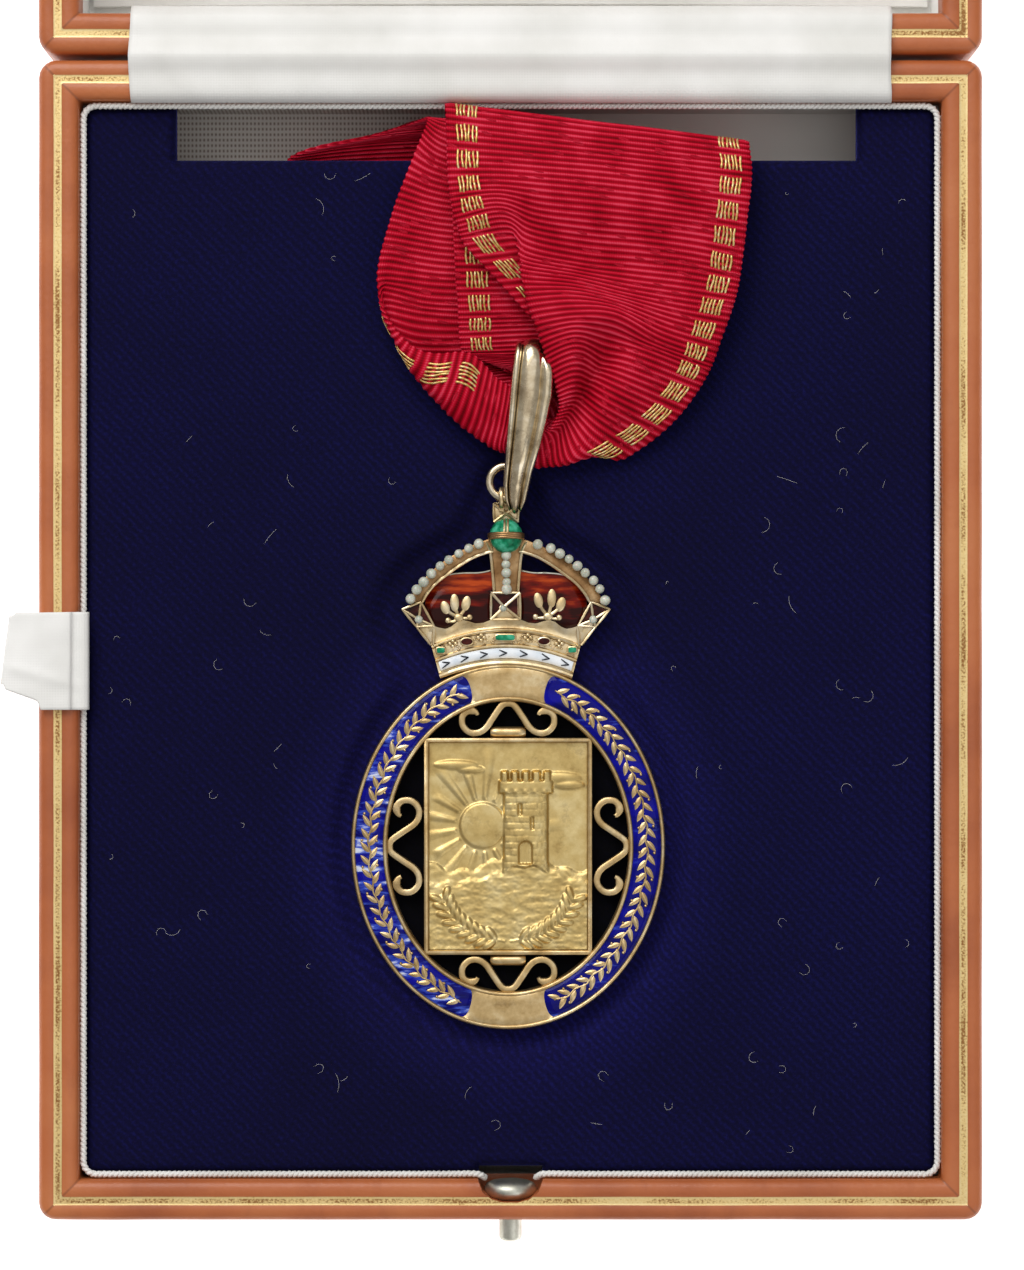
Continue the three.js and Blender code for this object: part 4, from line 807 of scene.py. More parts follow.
# Each row is a rib: seven points from the near selvedge to the far one
ribbonRows = [
    # the front leg, from the bend over the slot
    ((-8.1, 66.5, 19), (-1.8, 65.7, 19.3), (4.5, 64.9, 19.5), (10.8, 64.1, 19.5), (17.1, 63.4, 19.4),
     (23.4, 62.6, 19.2), (29.7, 61.8, 18.9)),
    ((-8, 63.3, 20), (-1.7, 62.6, 20.3), (4.6, 61.9, 20.5), (10.9, 61.2, 20.5), (17.2, 60.5, 20.4),
     (23.6, 59.8, 20.1), (30, 59.1, 19.8)),
    ((-7.9, 59.7, 20.6), (-1.7, 59.4, 21), (4.5, 58.9, 21.2), (10.8, 58.4, 21.1), (17.1, 57.7, 20.9),
     (23.5, 56.9, 20.6), (29.9, 56.1, 20.2)),
    ((-7.7, 56.4, 20.9), (-1.7, 56.6, 21.6), (4.4, 56.1, 21.5), (10.6, 55.5, 21.3), (17, 54.8, 21.1),
     (23.3, 53.9, 20.7), (29.5, 53, 20.2)),
    # a pleat starts beside the stripe and folds over it
    ((-7.3, 53.8, 21.1), (-1.4, 54.6, 22), (3.4, 53.4, 21.1), (10.2, 52.6, 21.2), (16.8, 51.9, 20.9),
     (23.2, 51.1, 20.5), (29.2, 50.1, 20)),
    ((-6.6, 51.4, 21.2), (-0.8, 52.6, 21.9), (2.3, 51, 20.9), (9.4, 49.8, 20.2), (16.2, 49.1, 20.5),
     (22.8, 48.2, 20.3), (28.8, 47, 19.8)),
    ((-5.8, 49.2, 21.2), (0.9, 50, 21.1), (1.1, 48.6, 21.5), (8.6, 46.9, 19.6), (15.6, 46.1, 20),
     (22.3, 45.3, 20.2), (28.4, 44.2, 19.6)),
    ((-2.4, 45.5, 20.9), (4, 46, 20.2), (1.3, 45.3, 22.4), (8, 44.5, 20.8), (14.6, 43, 20.5), (21.2, 41.8, 20.2),
     (27.5, 40.9, 19.4)),
    ((0.7, 42.1, 20.7), (5.5, 42.6, 19.9), (2, 42.2, 22.5), (7.4, 42.5, 22.7), (12.6, 41.7, 22), (19.6, 39.3, 20.5),
     (26.3, 37.6, 19.1)),
    ((3.2, 39.5, 20.3), (6.8, 39.8, 19.5), (3, 39.5, 22.3), (7.9, 40.2, 23.2), (12.7, 40, 23), (18.4, 37.2, 20.9),
     (25.4, 35, 18.9)),
    # the tongue: the pleat's edge runs down to the bail, a deep valley at its right
    ((6.5, 37.4, 19.8), (8.2, 37.6, 19.6), (3.9, 36.8, 21.9), (7.9, 38.1, 23), (12, 37.4, 20.9), (16.2, 36, 21.3),
     (24.5, 33, 18.6)),
    ((7, 35.2, 19.5), (8.6, 35.4, 19.3), (4.7, 34.6, 21.4), (8, 36, 22.6), (11.5, 34.7, 19), (14.4, 33.8, 21.1),
     (23.1, 30.7, 18.3)),
    ((7, 33.2, 19.2), (8.6, 33.4, 19), (5.4, 32.6, 21.1), (7.8, 33.7, 22), (10.5, 33, 18.4), (13.2, 31.7, 20.9),
     (21.3, 28.3, 18)),
    ((6.9, 31.2, 19), (8.2, 31.4, 18.8), (6, 30.6, 20.8), (7.6, 31.3, 21.4), (9.2, 31.2, 18.1), (12, 29.4, 20.5),
     (19, 26, 17.7)),
    ((6.5, 29.6, 18.9), (7.6, 29.7, 18.8), (6.2, 29, 20.4), (7, 29.4, 20.5), (8.1, 29.4, 18.5), (11, 27, 19.6),
     (16.2, 23.9, 17.2)),
    ((6, 28.2, 18.8), (6.8, 28.2, 18.7), (5.7, 27.5, 20), (6.4, 27.9, 20), (7.2, 27.8, 18.4), (9.8, 24.3, 19),
     (13.4, 22.6, 16.7)),
    ((4.9, 27.4, 19), (5.5, 27.2, 18.8), (4.6, 26.2, 19.8), (5.3, 26.4, 19.8), (6, 26.2, 18.4), (7.2, 22.2, 18.4),
     (10.5, 24.8, 16.3)),
    ((3.4, 28.4, 19.4), (3.8, 27.8, 19.3), (3.4, 26.5, 19.8), (3.8, 25.6, 19.6), (4.3, 23, 18.9), (4.7, 21.8, 18),
     (8.4, 27, 16.2)),
    # through the bail and out to the left
    ((2.2, 29.1, 19.8), (2.2, 28.2, 19.8), (2.2, 27, 19.8), (2.2, 24.8, 19.6), (2.3, 22.8, 18.9), (2.8, 22, 17.7),
     (6.8, 29, 16)),
    ((0, 31.5, 20), (-0.3, 29.5, 20.3), (-0.8, 26.7, 20.1), (-1.2, 23.6, 19), (1.2, 25, 17.3), (7, 30.8, 16),
     (0.2, 33.4, 17.3)),
    ((-1.7, 32.6, 20.2), (-2.2, 29.8, 20.6), (-2.8, 27, 20.2), (-3.4, 24.8, 18.8), (-1.5, 28, 16.9),
     (7.2, 31.9, 15.9), (-1.1, 33.9, 17.5)),
    ((-3.3, 34.3, 20.4), (-4.1, 31, 20.9), (-5, 28, 20.3), (-5.6, 26.4, 18.7), (-3.5, 30.5, 16.7),
     (7.4, 32.8, 15.9), (-2.3, 34.4, 17.7)),
    ((-4.8, 35.6, 20.5), (-5.7, 32.2, 21), (-6.8, 29.2, 20.4), (-7.4, 28, 18.6), (-5, 31.6, 16.6),
     (7.5, 33.6, 15.9), (-3.4, 34.8, 17.9)),
    ((-6.6, 35.8, 20.6), (-7.4, 32.6, 21), (-8.4, 30.2, 20.3), (-8.9, 29.6, 18.5), (-5.5, 32.6, 16.5),
     (7.6, 34.4, 15.9), (-4.4, 35.2, 18)),
    ((-8.8, 35.6, 20.6), (-9.5, 33.2, 20.8), (-10.2, 31.7, 20), (-10.6, 31.5, 18.4), (-4.8, 33.6, 16.3),
     (7.7, 35.2, 15.9), (-5.3, 35.5, 18.1)),
    ((-10.8, 35.9, 20.6), (-11.4, 34.2, 20.6), (-12, 33.3, 19.6), (-11.7, 33.4, 17.7), (-4, 34.4, 16.2),
     (7.8, 36.2, 16), (-6, 35.9, 18.3)),
    ((-12.6, 36.9, 20.4), (-13.1, 36, 20.2), (-13.4, 35.6, 19.2), (-11.9, 35.4, 17.2), (-3.5, 35.7, 16.1),
     (7.8, 37.6, 16.1), (-6.3, 36.9, 18.5)),
    # the back leg, doubled lengthwise, up to the slot
    ((-14.1, 38.4, 20.1), (-14.6, 38.2, 19.6), (-14.8, 38.4, 18.6), (-11.7, 37.5, 17.1), (-3.5, 37.6, 16.4),
     (8, 39.2, 16.5), (-6.4, 38.6, 18.6)),
    ((-15.4, 40.5, 19.6), (-15.9, 41, 19), (-15.7, 41.4, 18), (-11, 40.6, 17.1), (-3.5, 40.2, 16.7), (8, 41, 16.9),
     (-6.5, 40.6, 18.8)),
    ((-16.2, 42.6, 19), (-16.2, 43.5, 18.3), (-14.8, 43.4, 17.6), (-10.6, 42.4, 17.3), (-3, 42.2, 17),
     (8, 43, 17.2), (-6.6, 42.6, 18.9)),
    ((-16.6, 45, 18.5), (-15.6, 45.2, 17.8), (-13.4, 45, 17.5), (-9.4, 44.5, 17.4), (-2, 44.3, 17.2),
     (8, 44.8, 17.4), (-6.8, 44.6, 19)),
    ((-16.4, 47.4, 18.1), (-15, 47.4, 17.7), (-12.8, 47, 17.5), (-8.8, 46.4, 17.5), (-1.6, 46.2, 17.4),
     (8, 46.6, 17.6), (-6.9, 46.6, 19.1)),
    ((-15.8, 49.8, 17.9), (-14.2, 49.6, 17.7), (-12, 49.2, 17.6), (-8.2, 48.6, 17.6), (-1.2, 48.3, 17.5),
     (8, 48.6, 17.7), (-7, 48.8, 19.2)),
    ((-15.1, 52.2, 17.9), (-13.6, 51.9, 17.7), (-11.4, 51.4, 17.6), (-7.8, 50.8, 17.6), (-1, 50.5, 17.6),
     (8, 50.8, 17.8), (-7.1, 51, 19.3)),
    ((-14.3, 54.8, 17.8), (-12.9, 54.4, 17.7), (-10.8, 53.8, 17.7), (-7.4, 53.2, 17.7), (-0.8, 52.9, 17.7),
     (8, 53.2, 17.9), (-7.2, 53.4, 19.4)),
    ((-13.3, 57.4, 17.8), (-12, 56.9, 17.7), (-10.2, 56.2, 17.7), (-7, 55.5, 17.8), (-0.5, 55.2, 17.8),
     (8, 55.5, 18), (-7.2, 55.8, 19.4)),
    ((-12.3, 60, 17.7), (-11.2, 59.3, 17.7), (-9.6, 58.5, 17.7), (-6.6, 57.7, 17.8), (-0.3, 57.4, 17.9),
     (7.6, 57.7, 18.1), (-7.1, 58, 19.4)),
    ((-11.3, 62.5, 17.5), (-10.4, 61.6, 17.6), (-9.1, 60.7, 17.7), (-6.3, 59.8, 17.8), (0, 59.5, 17.9),
     (7, 59.8, 18.2), (-7, 60.2, 19.2)),
    ((-10.5, 64.5, 17), (-9.6, 63.7, 17.3), (-8.4, 63, 17.6), (-5.8, 62.4, 17.8), (0, 62.2, 17.9),
     (5.5, 62.4, 18.2), (-6.8, 62.5, 19)),
    ((-10.6, 65.3, 16.2), (-9.4, 65, 16.6), (-8, 64.7, 17), (-5, 64.4, 17.3), (0, 64.2, 17.4), (3.5, 64.3, 17.7),
     (-6.2, 64.3, 18.4)),
    # down into the slot, opening out flat
    ((-13.2, 64.6, 14.8), (-11.6, 64.9, 15.2), (-9.8, 65, 15.6), (-6.8, 64.9, 16.1), (-2, 64.7, 16.3),
     (0.5, 64.6, 16.6), (-3, 64.6, 17.2)),
    ((-18.3, 63.2, 13.6), (-15.2, 63.6, 13.8), (-11.6, 63.9, 14), (-7.2, 64, 14.4), (-3, 64.1, 14.6),
     (-0.5, 64.1, 14.8), (1.2, 64, 15.2)),
    ((-27.1, 61.2, 12.2), (-21.5, 62, 12.2), (-16, 62.5, 12.2), (-9.5, 62.8, 12.2), (-4, 63, 12.2), (1, 63.1, 12.2),
     (5.6, 63.1, 12.2)),
]
# The hidden stretch lies flat under the pad, to the front and doubled back
# (near selvedge, y, z, y drop at the far selvedge)
underRows = [(-28.4, 58.4, 9.6, 0), (-26.4, 47, 9.0, 0), (-18, 0, 9.0, 0), (-9.6, -50, 9.0, 0), (-8.4, -58, 8.5, 0),
             (-8.3, -60.4, 7.2, 0), (-8.2, -58, 5.9, 0), (-8.2, -50, 5.4, 0), (-8.2, 0, 5.4, 0), (-8.2, 50, 5.4, 0),
             (-8.2, 61, 7.0, 0.4), (-8.2, 65.2, 10.6, 3.0), (-8.2, 66.4, 15.4, 4.5)]


def flatRow(nearX, y, z, drop):
    return [(nearX + ribbon["width"] * t, y - drop * t, z) for t in np.linspace(0, 1, 7)]


def hermite(points, knots, span, t):
    # A smooth curve through points at uneven knots; the last axis is x, y, z
    n = len(points)
    gap = knots[1:] - knots[:-1]

    def slope(i):
        if i == 0:
            return (points[1] - points[0]) / gap[0]
        if i == n - 1:
            return (points[-1] - points[-2]) / gap[-1]
        after, before = points[i + 1] - points[i], points[i] - points[i - 1]
        return (after / gap[i] * gap[i - 1] + before / gap[i - 1] * gap[i]) / (gap[i] + gap[i - 1])
    h = gap[span]
    return ((2 * t ** 3 - 3 * t ** 2 + 1) * points[span] + (t ** 3 - 2 * t ** 2 + t) * h * slope(span)
            + (3 * t ** 2 - 2 * t ** 3) * points[span + 1] + (t ** 3 - t ** 2) * h * slope(span + 1))


# the loop is opened in the hidden stretch, where its two ends are sewn together
guide = np.array([flatRow(*r) for r in underRows[7:]] + ribbonRows + [flatRow(*r) for r in underRows[:8]], float)
firstShown, lastShown = len(underRows) - 8, len(underRows) - 7 + len(ribbonRows)
lengths = np.mean(np.linalg.norm(np.diff(guide, axis=0), axis=2), axis=1)
knots = np.concatenate([[0], np.cumsum(np.sqrt(lengths))])
stations, shown, guidePlace = [], [], []
for span in range(len(guide) - 1):
    guidePlace.append(len(stations))
    visible = firstShown <= span < lastShown
    count = max(2, round(lengths[span] / (ribbon["step"] if visible else 2.5)))
    for t in np.arange(count) / count:
        stations.append(hermite(guide, knots, span, t))
        shown.append(visible)
stations.append(guide[-1])
shown.append(False)
stations = np.array(stations)

# across each row: a smooth curve through its seven points, then points at equal distances
cross = []
for row in stations:
    gaps = np.sqrt(np.maximum(np.linalg.norm(np.diff(row, axis=0), axis=1), 0.05))
    places = np.concatenate([[0], np.cumsum(gaps)])
    fine = np.array([hermite(row, places, span, t) for span in range(6) for t in np.arange(12) / 12] + [row[-1]])
    run = np.concatenate([[0], np.cumsum(np.linalg.norm(np.diff(fine, axis=0), axis=1))])
    at = np.linspace(0, run[-1], ribbon["columns"] + 1)
    cross.append(np.stack([np.interp(at, run, fine[:, k]) for k in range(3)], axis=1))
cloth = np.array(cross)
acrossWay = np.gradient(cloth, axis=1)
alongWay = np.gradient(cloth, axis=0)
face = np.cross(alongWay, acrossWay)
face /= np.maximum(np.linalg.norm(face, axis=2), 1e-9)[:, :, None]
rowWidth = np.sum(np.linalg.norm(np.diff(cloth, axis=1), axis=2), axis=1)
rowRun = np.concatenate([[0], np.cumsum(np.mean(np.linalg.norm(np.diff(cloth, axis=0), axis=2), axis=1))])
ribWave = ribbon["ribHeight"] * np.cos(2 * math.pi * rowRun / ribbon["rib"]) * np.array(shown)
# every weft turn makes a bead at the selvedge
bead = (ribbon["bead"] * np.cos(2 * math.pi * rowRun / ribbon["rib"]) * np.array(shown))[:, None]
for column, way in ((0, -1), (-1, 1)):
    outward = acrossWay[:, column] / np.linalg.norm(acrossWay[:, column], axis=1)[:, None]
    cloth[:, column] += way * bead * outward
lift = (ribbon["thick"] / 2 + ribWave)[:, None] * np.ones(ribbon["columns"] + 1)[None, :]
lift[:, 0] *= 0.55
lift[:, -1] *= 0.55
over, below = cloth + face * lift[:, :, None], cloth - face * lift[:, :, None]
bm = skin(np.concatenate([over, below[:, ::-1]], axis=1), around=True)
uvLayer = bm.loops.layers.uv.new("cloth")
# each corner's place in the flat cloth, found from the grid point it came from
flat = {}
for i in range(len(cloth)):
    for j in range(ribbon["columns"] + 1):
        spot = (rowWidth[i] * j / ribbon["columns"] * mm, rowRun[i] * mm)
        flat[tuple(np.round(over[i, j], 4))] = flat[tuple(np.round(below[i, j], 4))] = spot
for piece in bm.faces:
    for corner in piece.loops:
        corner[uvLayer].uv = flat.get(tuple(np.round(corner.vert.co, 4)), (0, 0))
grosgrain = silkGrosgrain(ribbon["rib"])
ribbonPiece = finishPiece("neckRibbon", [(bm, 0)], [grosgrain], "case", ["ribbon"], 0)
print("ribbon woven,", len(cloth), "rows,", round(rowRun[-1]), "mm long")

# Gold: six metal threads to a block, a block to every four ribs, in a stripe inside each selvedge
goldStripe = {"inset": 1.45, "spacing": 0.47, "threads": 6, "repeat": 4 * ribbon["rib"], "float": 2.32, "wide": 0.23,
              "high": 0.07, "foil": 0.05,
              # stretches with no float on top, by rows of the ribbon: (far selvedge, from row, to row)
              "bare": [(False, 11, 20.6), (True, 15.2, 25), (False, 38, 60), (True, 38, 60)]}
firstRow = len(underRows) - 7


def onCloth(run, inset, fromFar):
    # A point on the ribbon's face, and its facing, at a place along it and in from a selvedge
    row = np.interp(run, rowRun, np.arange(len(rowRun)))
    i = min(int(row), len(rowRun) - 2)
    part = row - i
    wide = rowWidth[i] * (1 - part) + rowWidth[i + 1] * part
    column = (1 - inset / wide if fromFar else inset / wide) * ribbon["columns"]
    j = min(max(int(column), 0), ribbon["columns"] - 1)
    slip = column - j
    weights = ((i, j, (1 - part) * (1 - slip)), (i, j + 1, (1 - part) * slip), (i + 1, j, part * (1 - slip)),
               (i + 1, j + 1, part * slip))
    point = sum(cloth[a, b] * w for a, b, w in weights)
    facing = sum(face[a, b] * w for a, b, w in weights)
    sideways = sum(acrossWay[a, b] * w for a, b, w in weights)
    return point, facing / np.linalg.norm(facing), sideways / np.linalg.norm(sideways)


startRun, endRun = rowRun[shown.index(True)], rowRun[len(shown) - 1 - shown[::-1].index(True)]
threads = []
blocks = int((endRun - startRun) / goldStripe["repeat"])
for block in range(blocks):
    begin = (math.floor(startRun / ribbon["rib"]) + 0.5) * ribbon["rib"] + block * goldStripe["repeat"] + 0.3
    place = np.interp(begin + goldStripe["float"] / 2, rowRun[guidePlace], np.arange(len(guidePlace))) - firstRow
    for fromFar in (False, True):
        if any(far == fromFar and low < place < high for far, low, high in goldStripe["bare"]):
            continue
        for k in range(goldStripe["threads"]):
            rows = []
            phase, lean = random.uniform(0, 6.3), random.uniform(-0.05, 0.05)
            early, late = random.uniform(-0.12, 0.12), random.uniform(-0.12, 0.12)
            for t in np.linspace(0, 1, 11):
                wave = 0.06 * math.sin(phase + 5.5 * t) + lean
                inset = goldStripe["inset"] + goldStripe["spacing"] * k + wave
                point, facing, sideways = onCloth(begin + early + (goldStripe["float"] + late - early) * t, inset,
                                                  fromFar)
                rise = ribbon["thick"] / 2 + ribbon["ribHeight"] * 0.75 - 0.3 * (abs(2 * t - 1) ** 10)
                base = point + facing * rise
                reach = sideways * goldStripe["wide"] / 2
                rows.append([base - reach, base + facing * goldStripe["high"] - reach * 0.45,
                             base + facing * goldStripe["high"] + reach * 0.45, base + reach])
            threads.append((skin(rows), 0))
goldPiece = finishPiece("goldThreads", threads, [goldThread], "case", (), 0)
thick = goldPiece.modifiers.new("thickness", "SOLIDIFY")
thick.thickness = goldStripe["foil"] * mm
print("gold threads", len(threads))

# Badge: an oval hoop of silver-gilt set with enamel, holding a struck plaque on four scrolls
badge = {"x": -0.3, "y": -25.83, "z": 14.3, "outer": (19.68, 22.9), "inner": (15.08, 18.15), "endAngle": 15.5}


def atBadge(bm, turn=0.0):
    place = Matrix.Translation((badge["x"], badge["y"], badge["z"])) @ Matrix.Rotation(math.radians(turn), 4, "Z")
    bmesh.ops.transform(bm, matrix=place, verts=bm.verts)
    return bm


def onHoop(share, degrees):
    # A point across the hoop, 0 at its inside and 1 outside, at an angle from the top
    (ox, oy), (ix, iy) = badge["outer"], badge["inner"]
    angle = math.radians(degrees)
    return (ix + (ox - ix) * share) * math.sin(angle), (iy + (oy - iy) * share) * math.cos(angle)


hoopProfile = [(0, 0.25), (0, 2.0), (0.015, 2.28), (0.04, 2.44), (0.075, 2.5), (0.105, 2.46), (0.125, 2.34),
               (0.15, "f"), (0.3, "f"), (0.5, "f"), (0.7, "f"), (0.86, "f"), (0.885, 2.34), (0.905, 2.46),
               (0.935, 2.5), (0.965, 2.44), (0.985, 2.28), (1, 2.0), (1, 0.35), (0.96, 0.0), (0.04, 0.0)]
rows = []
for degrees in np.linspace(0, 360, 220, endpoint=False):
    off = min(degrees % 180, 180 - degrees % 180)
    gapFloor = 2.2 + 0.2 * float(1 - smoothStep(15.0, 17.5, off))
    rows.append([(*onHoop(share, degrees), gapFloor - 0.05 * (1 - (2 * share - 1) ** 2) if z == "f" else z)
                 for share, z in hoopProfile])
hoop = skin(rows, around=True, along=True)


def enamelBand(degreesFrom, degreesTo):
    rows = []
    for t in np.linspace(0, 1, 110):
        row = []
        for s in np.linspace(0, 1, 13):
            share = 0.135 + 0.74 * s
            bow = 2.3 * (1 - math.sqrt(max(1 - (2 * s - 1) ** 2 * 0.96, 0)))
            degrees = (degreesFrom + bow) + (degreesTo - degreesFrom - 2 * bow) * t
            edge = min(s, 1 - s) * 3.2
            z = 2.28 + 0.2 * (1 - math.exp(-edge / 0.22)) * (1 - math.exp(-min(t, 1 - t) * 50 / 0.25))
            row.append((*onHoop(share, degrees), z))
        rows.append(row)
    bm = skin(rows)
    closeUnder(bm, 1.8)
    return bm


end = badge["endAngle"]
finishPiece("enamelRight", [(atBadge(enamelBand(end, 180 - end)), 0)], [blueEnamel], "case", ["enamel_right"])
finishPiece("enamelLeft", [(atBadge(enamelBand(180 + end, 360 - end)), 0)], [blueEnamel], "case", ["enamel_left"])

# A running spray of laurel in gold over the enamel
laurel = {"step": 4.5, "leaf": 1.75, "wide": 0.62, "lean": 38, "z": 2.46, "stem": 0.13, "berry": 0.2}
sprays = []
for side in (0, 180):
    stemPath = []
    for degrees in np.arange(end + 4, 180 - end - 3.9, 1.5):
        wave = 0.04 * math.sin(math.radians(degrees * 360 / laurel["step"] / 2))
        stemPath.append((*onHoop(0.5 + wave, degrees + side), laurel["z"]))
    sprays.append((atBadge(tube(stemPath, laurel["stem"], 6)), 0))
    for k, degrees in enumerate(np.arange(end + 5, 180 - end - 5, laurel["step"])):
        for hand in (-1, 1):
            ahead = degrees + side + (0 if hand > 0 else laurel["step"] / 2)
            if ahead - side > 180 - end - 6:
                continue
            foot = Vector(onHoop(0.5, ahead))
            way = (Vector(onHoop(0.5, ahead + 1)) - foot).normalized()
            out = Vector(onHoop(1, ahead)) - Vector(onHoop(0, ahead))
            out.normalize()
            lean = math.radians(laurel["lean"])
            leafWay = way * math.cos(lean) + out * hand * math.sin(lean)
            leafSide = Vector((-leafWay.y, leafWay.x))
            rows = []
            for t in np.linspace(0, 1, 7):
                wide = laurel["wide"] / 2 * (math.sin(math.pi * t ** 0.8) ** 0.8 + 0.04)
                middle = foot + leafWay * laurel["leaf"] * t
                rows.append([(*(middle + leafSide * wide * s),
                              laurel["z"] + 0.03 + 0.13 * (1 - abs(s)) * math.sin(math.pi * t))
                             for s in (-1, -0.5, 0, 0.5, 1)])
            sprays.append((atBadge(skin(rows)), 0))
        if k % 2:
            for hand in (0.3, 0.7):
                spot = onHoop(hand, degrees + side + laurel["step"] * 0.92)
                sprays.append((atBadge(ball((*spot, laurel["z"]), [laurel["berry"]] * 3, 0, 8)), 0))
finishPiece("laurelSpray", sprays, [gilt], "case", (), 0)

# The plaque's frame, the four scrolls and the two hinge clips, all one with the hoop
plaque = {"halfX": 10.55, "halfY": 13.6,
          "rim": [(0, 0.2), (0, 1.95), (0.08, 2.15), (0.25, 2.24), (0.45, 2.2), (0.58, 2.05), (0.65, 1.6),
                  (0.65, 0.9)]}
rows = []
for inset, z in plaque["rim"]:
    x, y = plaque["halfX"] - inset, plaque["halfY"] - inset
    rows.append([(x, -y, z), (x, y, z), (-x, y, z), (-x, -y, z)])
frameParts = [hoop, skin(rows, around=True, capped=True)]
scroll = {"wide": 0.86, "low": 0.5, "high": 2.0}


def scrollStrip(crest):
    half = [(0, crest), (-0.5, crest - 0.08), (-1.0, crest - 0.5), (-1.9, crest - 1.8), (-2.8, 1.2), (-3.75, 0.62),
            (-4.85, 0.7), (-5.68, 1.55), (-5.68, 2.75), (-4.9, 3.42), (-4.05, 3.2), (-3.8, 2.85)]
    whole = [(-x, y) for x, y in half[:0:-1]] + half
    path = curveThrough([(x, y, 0) for x, y in whole], 120)
    points, sides, _ = framesAlong(path, False)
    rows = []
    for k, (p, s) in enumerate(zip(points, sides)):
        fromEnd = min(k, len(points) - 1 - k)
        wide = scroll["wide"] / 2 * (0.55 + 0.45 * min(fromEnd / 5, 1)) + 0.12 * math.exp(-((fromEnd - 6) / 3.5) ** 2)
        section = [(-1, scroll["low"]), (-1, scroll["high"] - 0.25), (-0.82, scroll["high"] - 0.06),
                   (-0.5, scroll["high"]), (0.5, scroll["high"]), (0.82, scroll["high"] - 0.06),
                   (1, scroll["high"] - 0.25), (1, scroll["low"])]
        rows.append([(p[0] + s[0] * wide * a, p[1] + s[1] * wide * a, z) for a, z in section])
    return skin(rows, around=True, capped=True)


def clipTube():
    # a half-round keeper rolled over a pin
    rows = []
    for x in np.linspace(-2.2, 2.2, 14):
        ease = 1 - 0.25 * abs(x / 2.2) ** 10
        rows.append([(x, plaque["halfY"] + 0.66 + 0.74 * ease * math.cos(a), 0.9 + 1.0 * ease * math.sin(a) ** 0.7)
                     for a in np.linspace(0, math.pi, 10)] + [(x, plaque["halfY"] - 0.1, 0.4),
                                                              (x, plaque["halfY"] + 1.3, 0.4)][::-1])
    return skin(rows, around=True, capped=True)


for turn in (0, 180):
    upright = scrollStrip(badge["inner"][1] - plaque["halfY"] - 0.25)
    bmesh.ops.translate(upright, verts=upright.verts, vec=(0, plaque["halfY"], 0))
    sideways = scrollStrip(badge["inner"][0] - plaque["halfX"] - 0.25)
    bmesh.ops.rotate(sideways, verts=sideways.verts, cent=(0, 0, 0), matrix=Matrix.Rotation(math.pi / 2, 3, "Z"))
    bmesh.ops.translate(sideways, verts=sideways.verts, vec=(-plaque["halfX"], 0, 0))
    keeper = clipTube()
    # solder where the curls meet the plaque and the crests meet the hoop
    nubs = [ball((x, plaque["halfY"] + 0.3, 1.2), (0.42, 0.45, 0.6), 0, 10) for x in (-4.3, 4.3)]
    nubs += [ball((-plaque["halfX"] - 0.3, y, 1.2), (0.45, 0.42, 0.6), 0, 10) for y in (-4.3, 4.3)]
    nubs += [ball((0, badge["inner"][1] - 0.05, 1.1), (0.5, 0.4, 0.7), 0, 10),
             ball((-badge["inner"][0] + 0.05, 0, 1.1), (0.4, 0.5, 0.7), 0, 10)]
    for part in [upright, sideways, keeper] + nubs:
        bmesh.ops.rotate(part, verts=part.verts, cent=(0, 0, 0), matrix=Matrix.Rotation(math.radians(turn), 3, "Z"))
        frameParts.append(part)
finishPiece("ovalFrame", [(atBadge(part), 0) for part in frameParts], [gilt], "case", ["oval_frame"], 40)
print("hoop and frame made")

# The struck relief: a round tower on a hill before a rising sun, two leafy sprays below
relief = {"halfX": 9.85, "halfY": 12.9, "across": 200, "along": 262, "low": 1.0, "top": 2.1}
gx, gy = np.meshgrid(np.linspace(-relief["halfX"], relief["halfX"], relief["across"] + 1),
                     np.linspace(-relief["halfY"], relief["halfY"], relief["along"] + 1))
ground = 0.16 + 0.02 * np.sin(gx * 1.7 + 0.6 * np.sin(gy)) * np.sin(gy * 1.3)
sunX, sunY = -3.2, 2.6
away, bearing = np.hypot(gx - sunX, gy - sunY), np.arctan2(gy - sunY, gx - sunX)
rayEnd = 9.5 + 2 * np.cos(bearing * 8.5)
rays = np.clip(np.cos(bearing * 17), 0, 1) ** 0.8 * smoothStep(3.1, 3.5, away) * (1 - smoothStep(6.0, rayEnd, away))
disc = (1 - smoothStep(2.7, 3.0, away)) * (0.7 + 0.3 * np.sqrt(np.clip(1 - (away / 3) ** 2, 0, 1)))
ground = ground + 0.16 * rays + 0.3 * disc
for cx, cy, long, tall in ((6.0, 8.6, 3.2, 0.75), (4.4, 7.9, 2.2, 0.6), (7.6, 7.7, 2.0, 0.6),
                           (-6.6, 10.2, 2.8, 0.6), (-4.6, 9.6, 1.8, 0.5)):
    puff = np.clip(1 - ((gx - cx) / long) ** 2 - ((gy - cy) / tall) ** 2, 0, 1)
    ground = np.maximum(ground, 0.16 + 0.3 * np.sqrt(puff))
farHill = -2.0 + 1.1 * np.sin(gx * 0.42 + 1.0) + 0.25 * np.sin(gx * 1.9)
grassFar = 0.02 * np.sin(gx * 4 + 3 * np.sin(gy * 2 + gx))
ground = np.where(gy < farHill, 0.3 + 0.1 * smoothStep(0, 0.5, farHill - gy) + grassFar, ground)
nearHill = -4.4 + 2.3 * np.exp(-((gx - 2.2) / 5.0) ** 2) + 0.2 * np.sin(gx * 2.3)
turf = np.array([[0.07 * noise.noise((x * 0.7, y * 1.5, 0)) + 0.045 * noise.noise((x * 2.1, y * 3.4, 5))
                  for x, y in zip(rx, ry)] for rx, ry in zip(gx, gy)])
depth = nearHill - gy
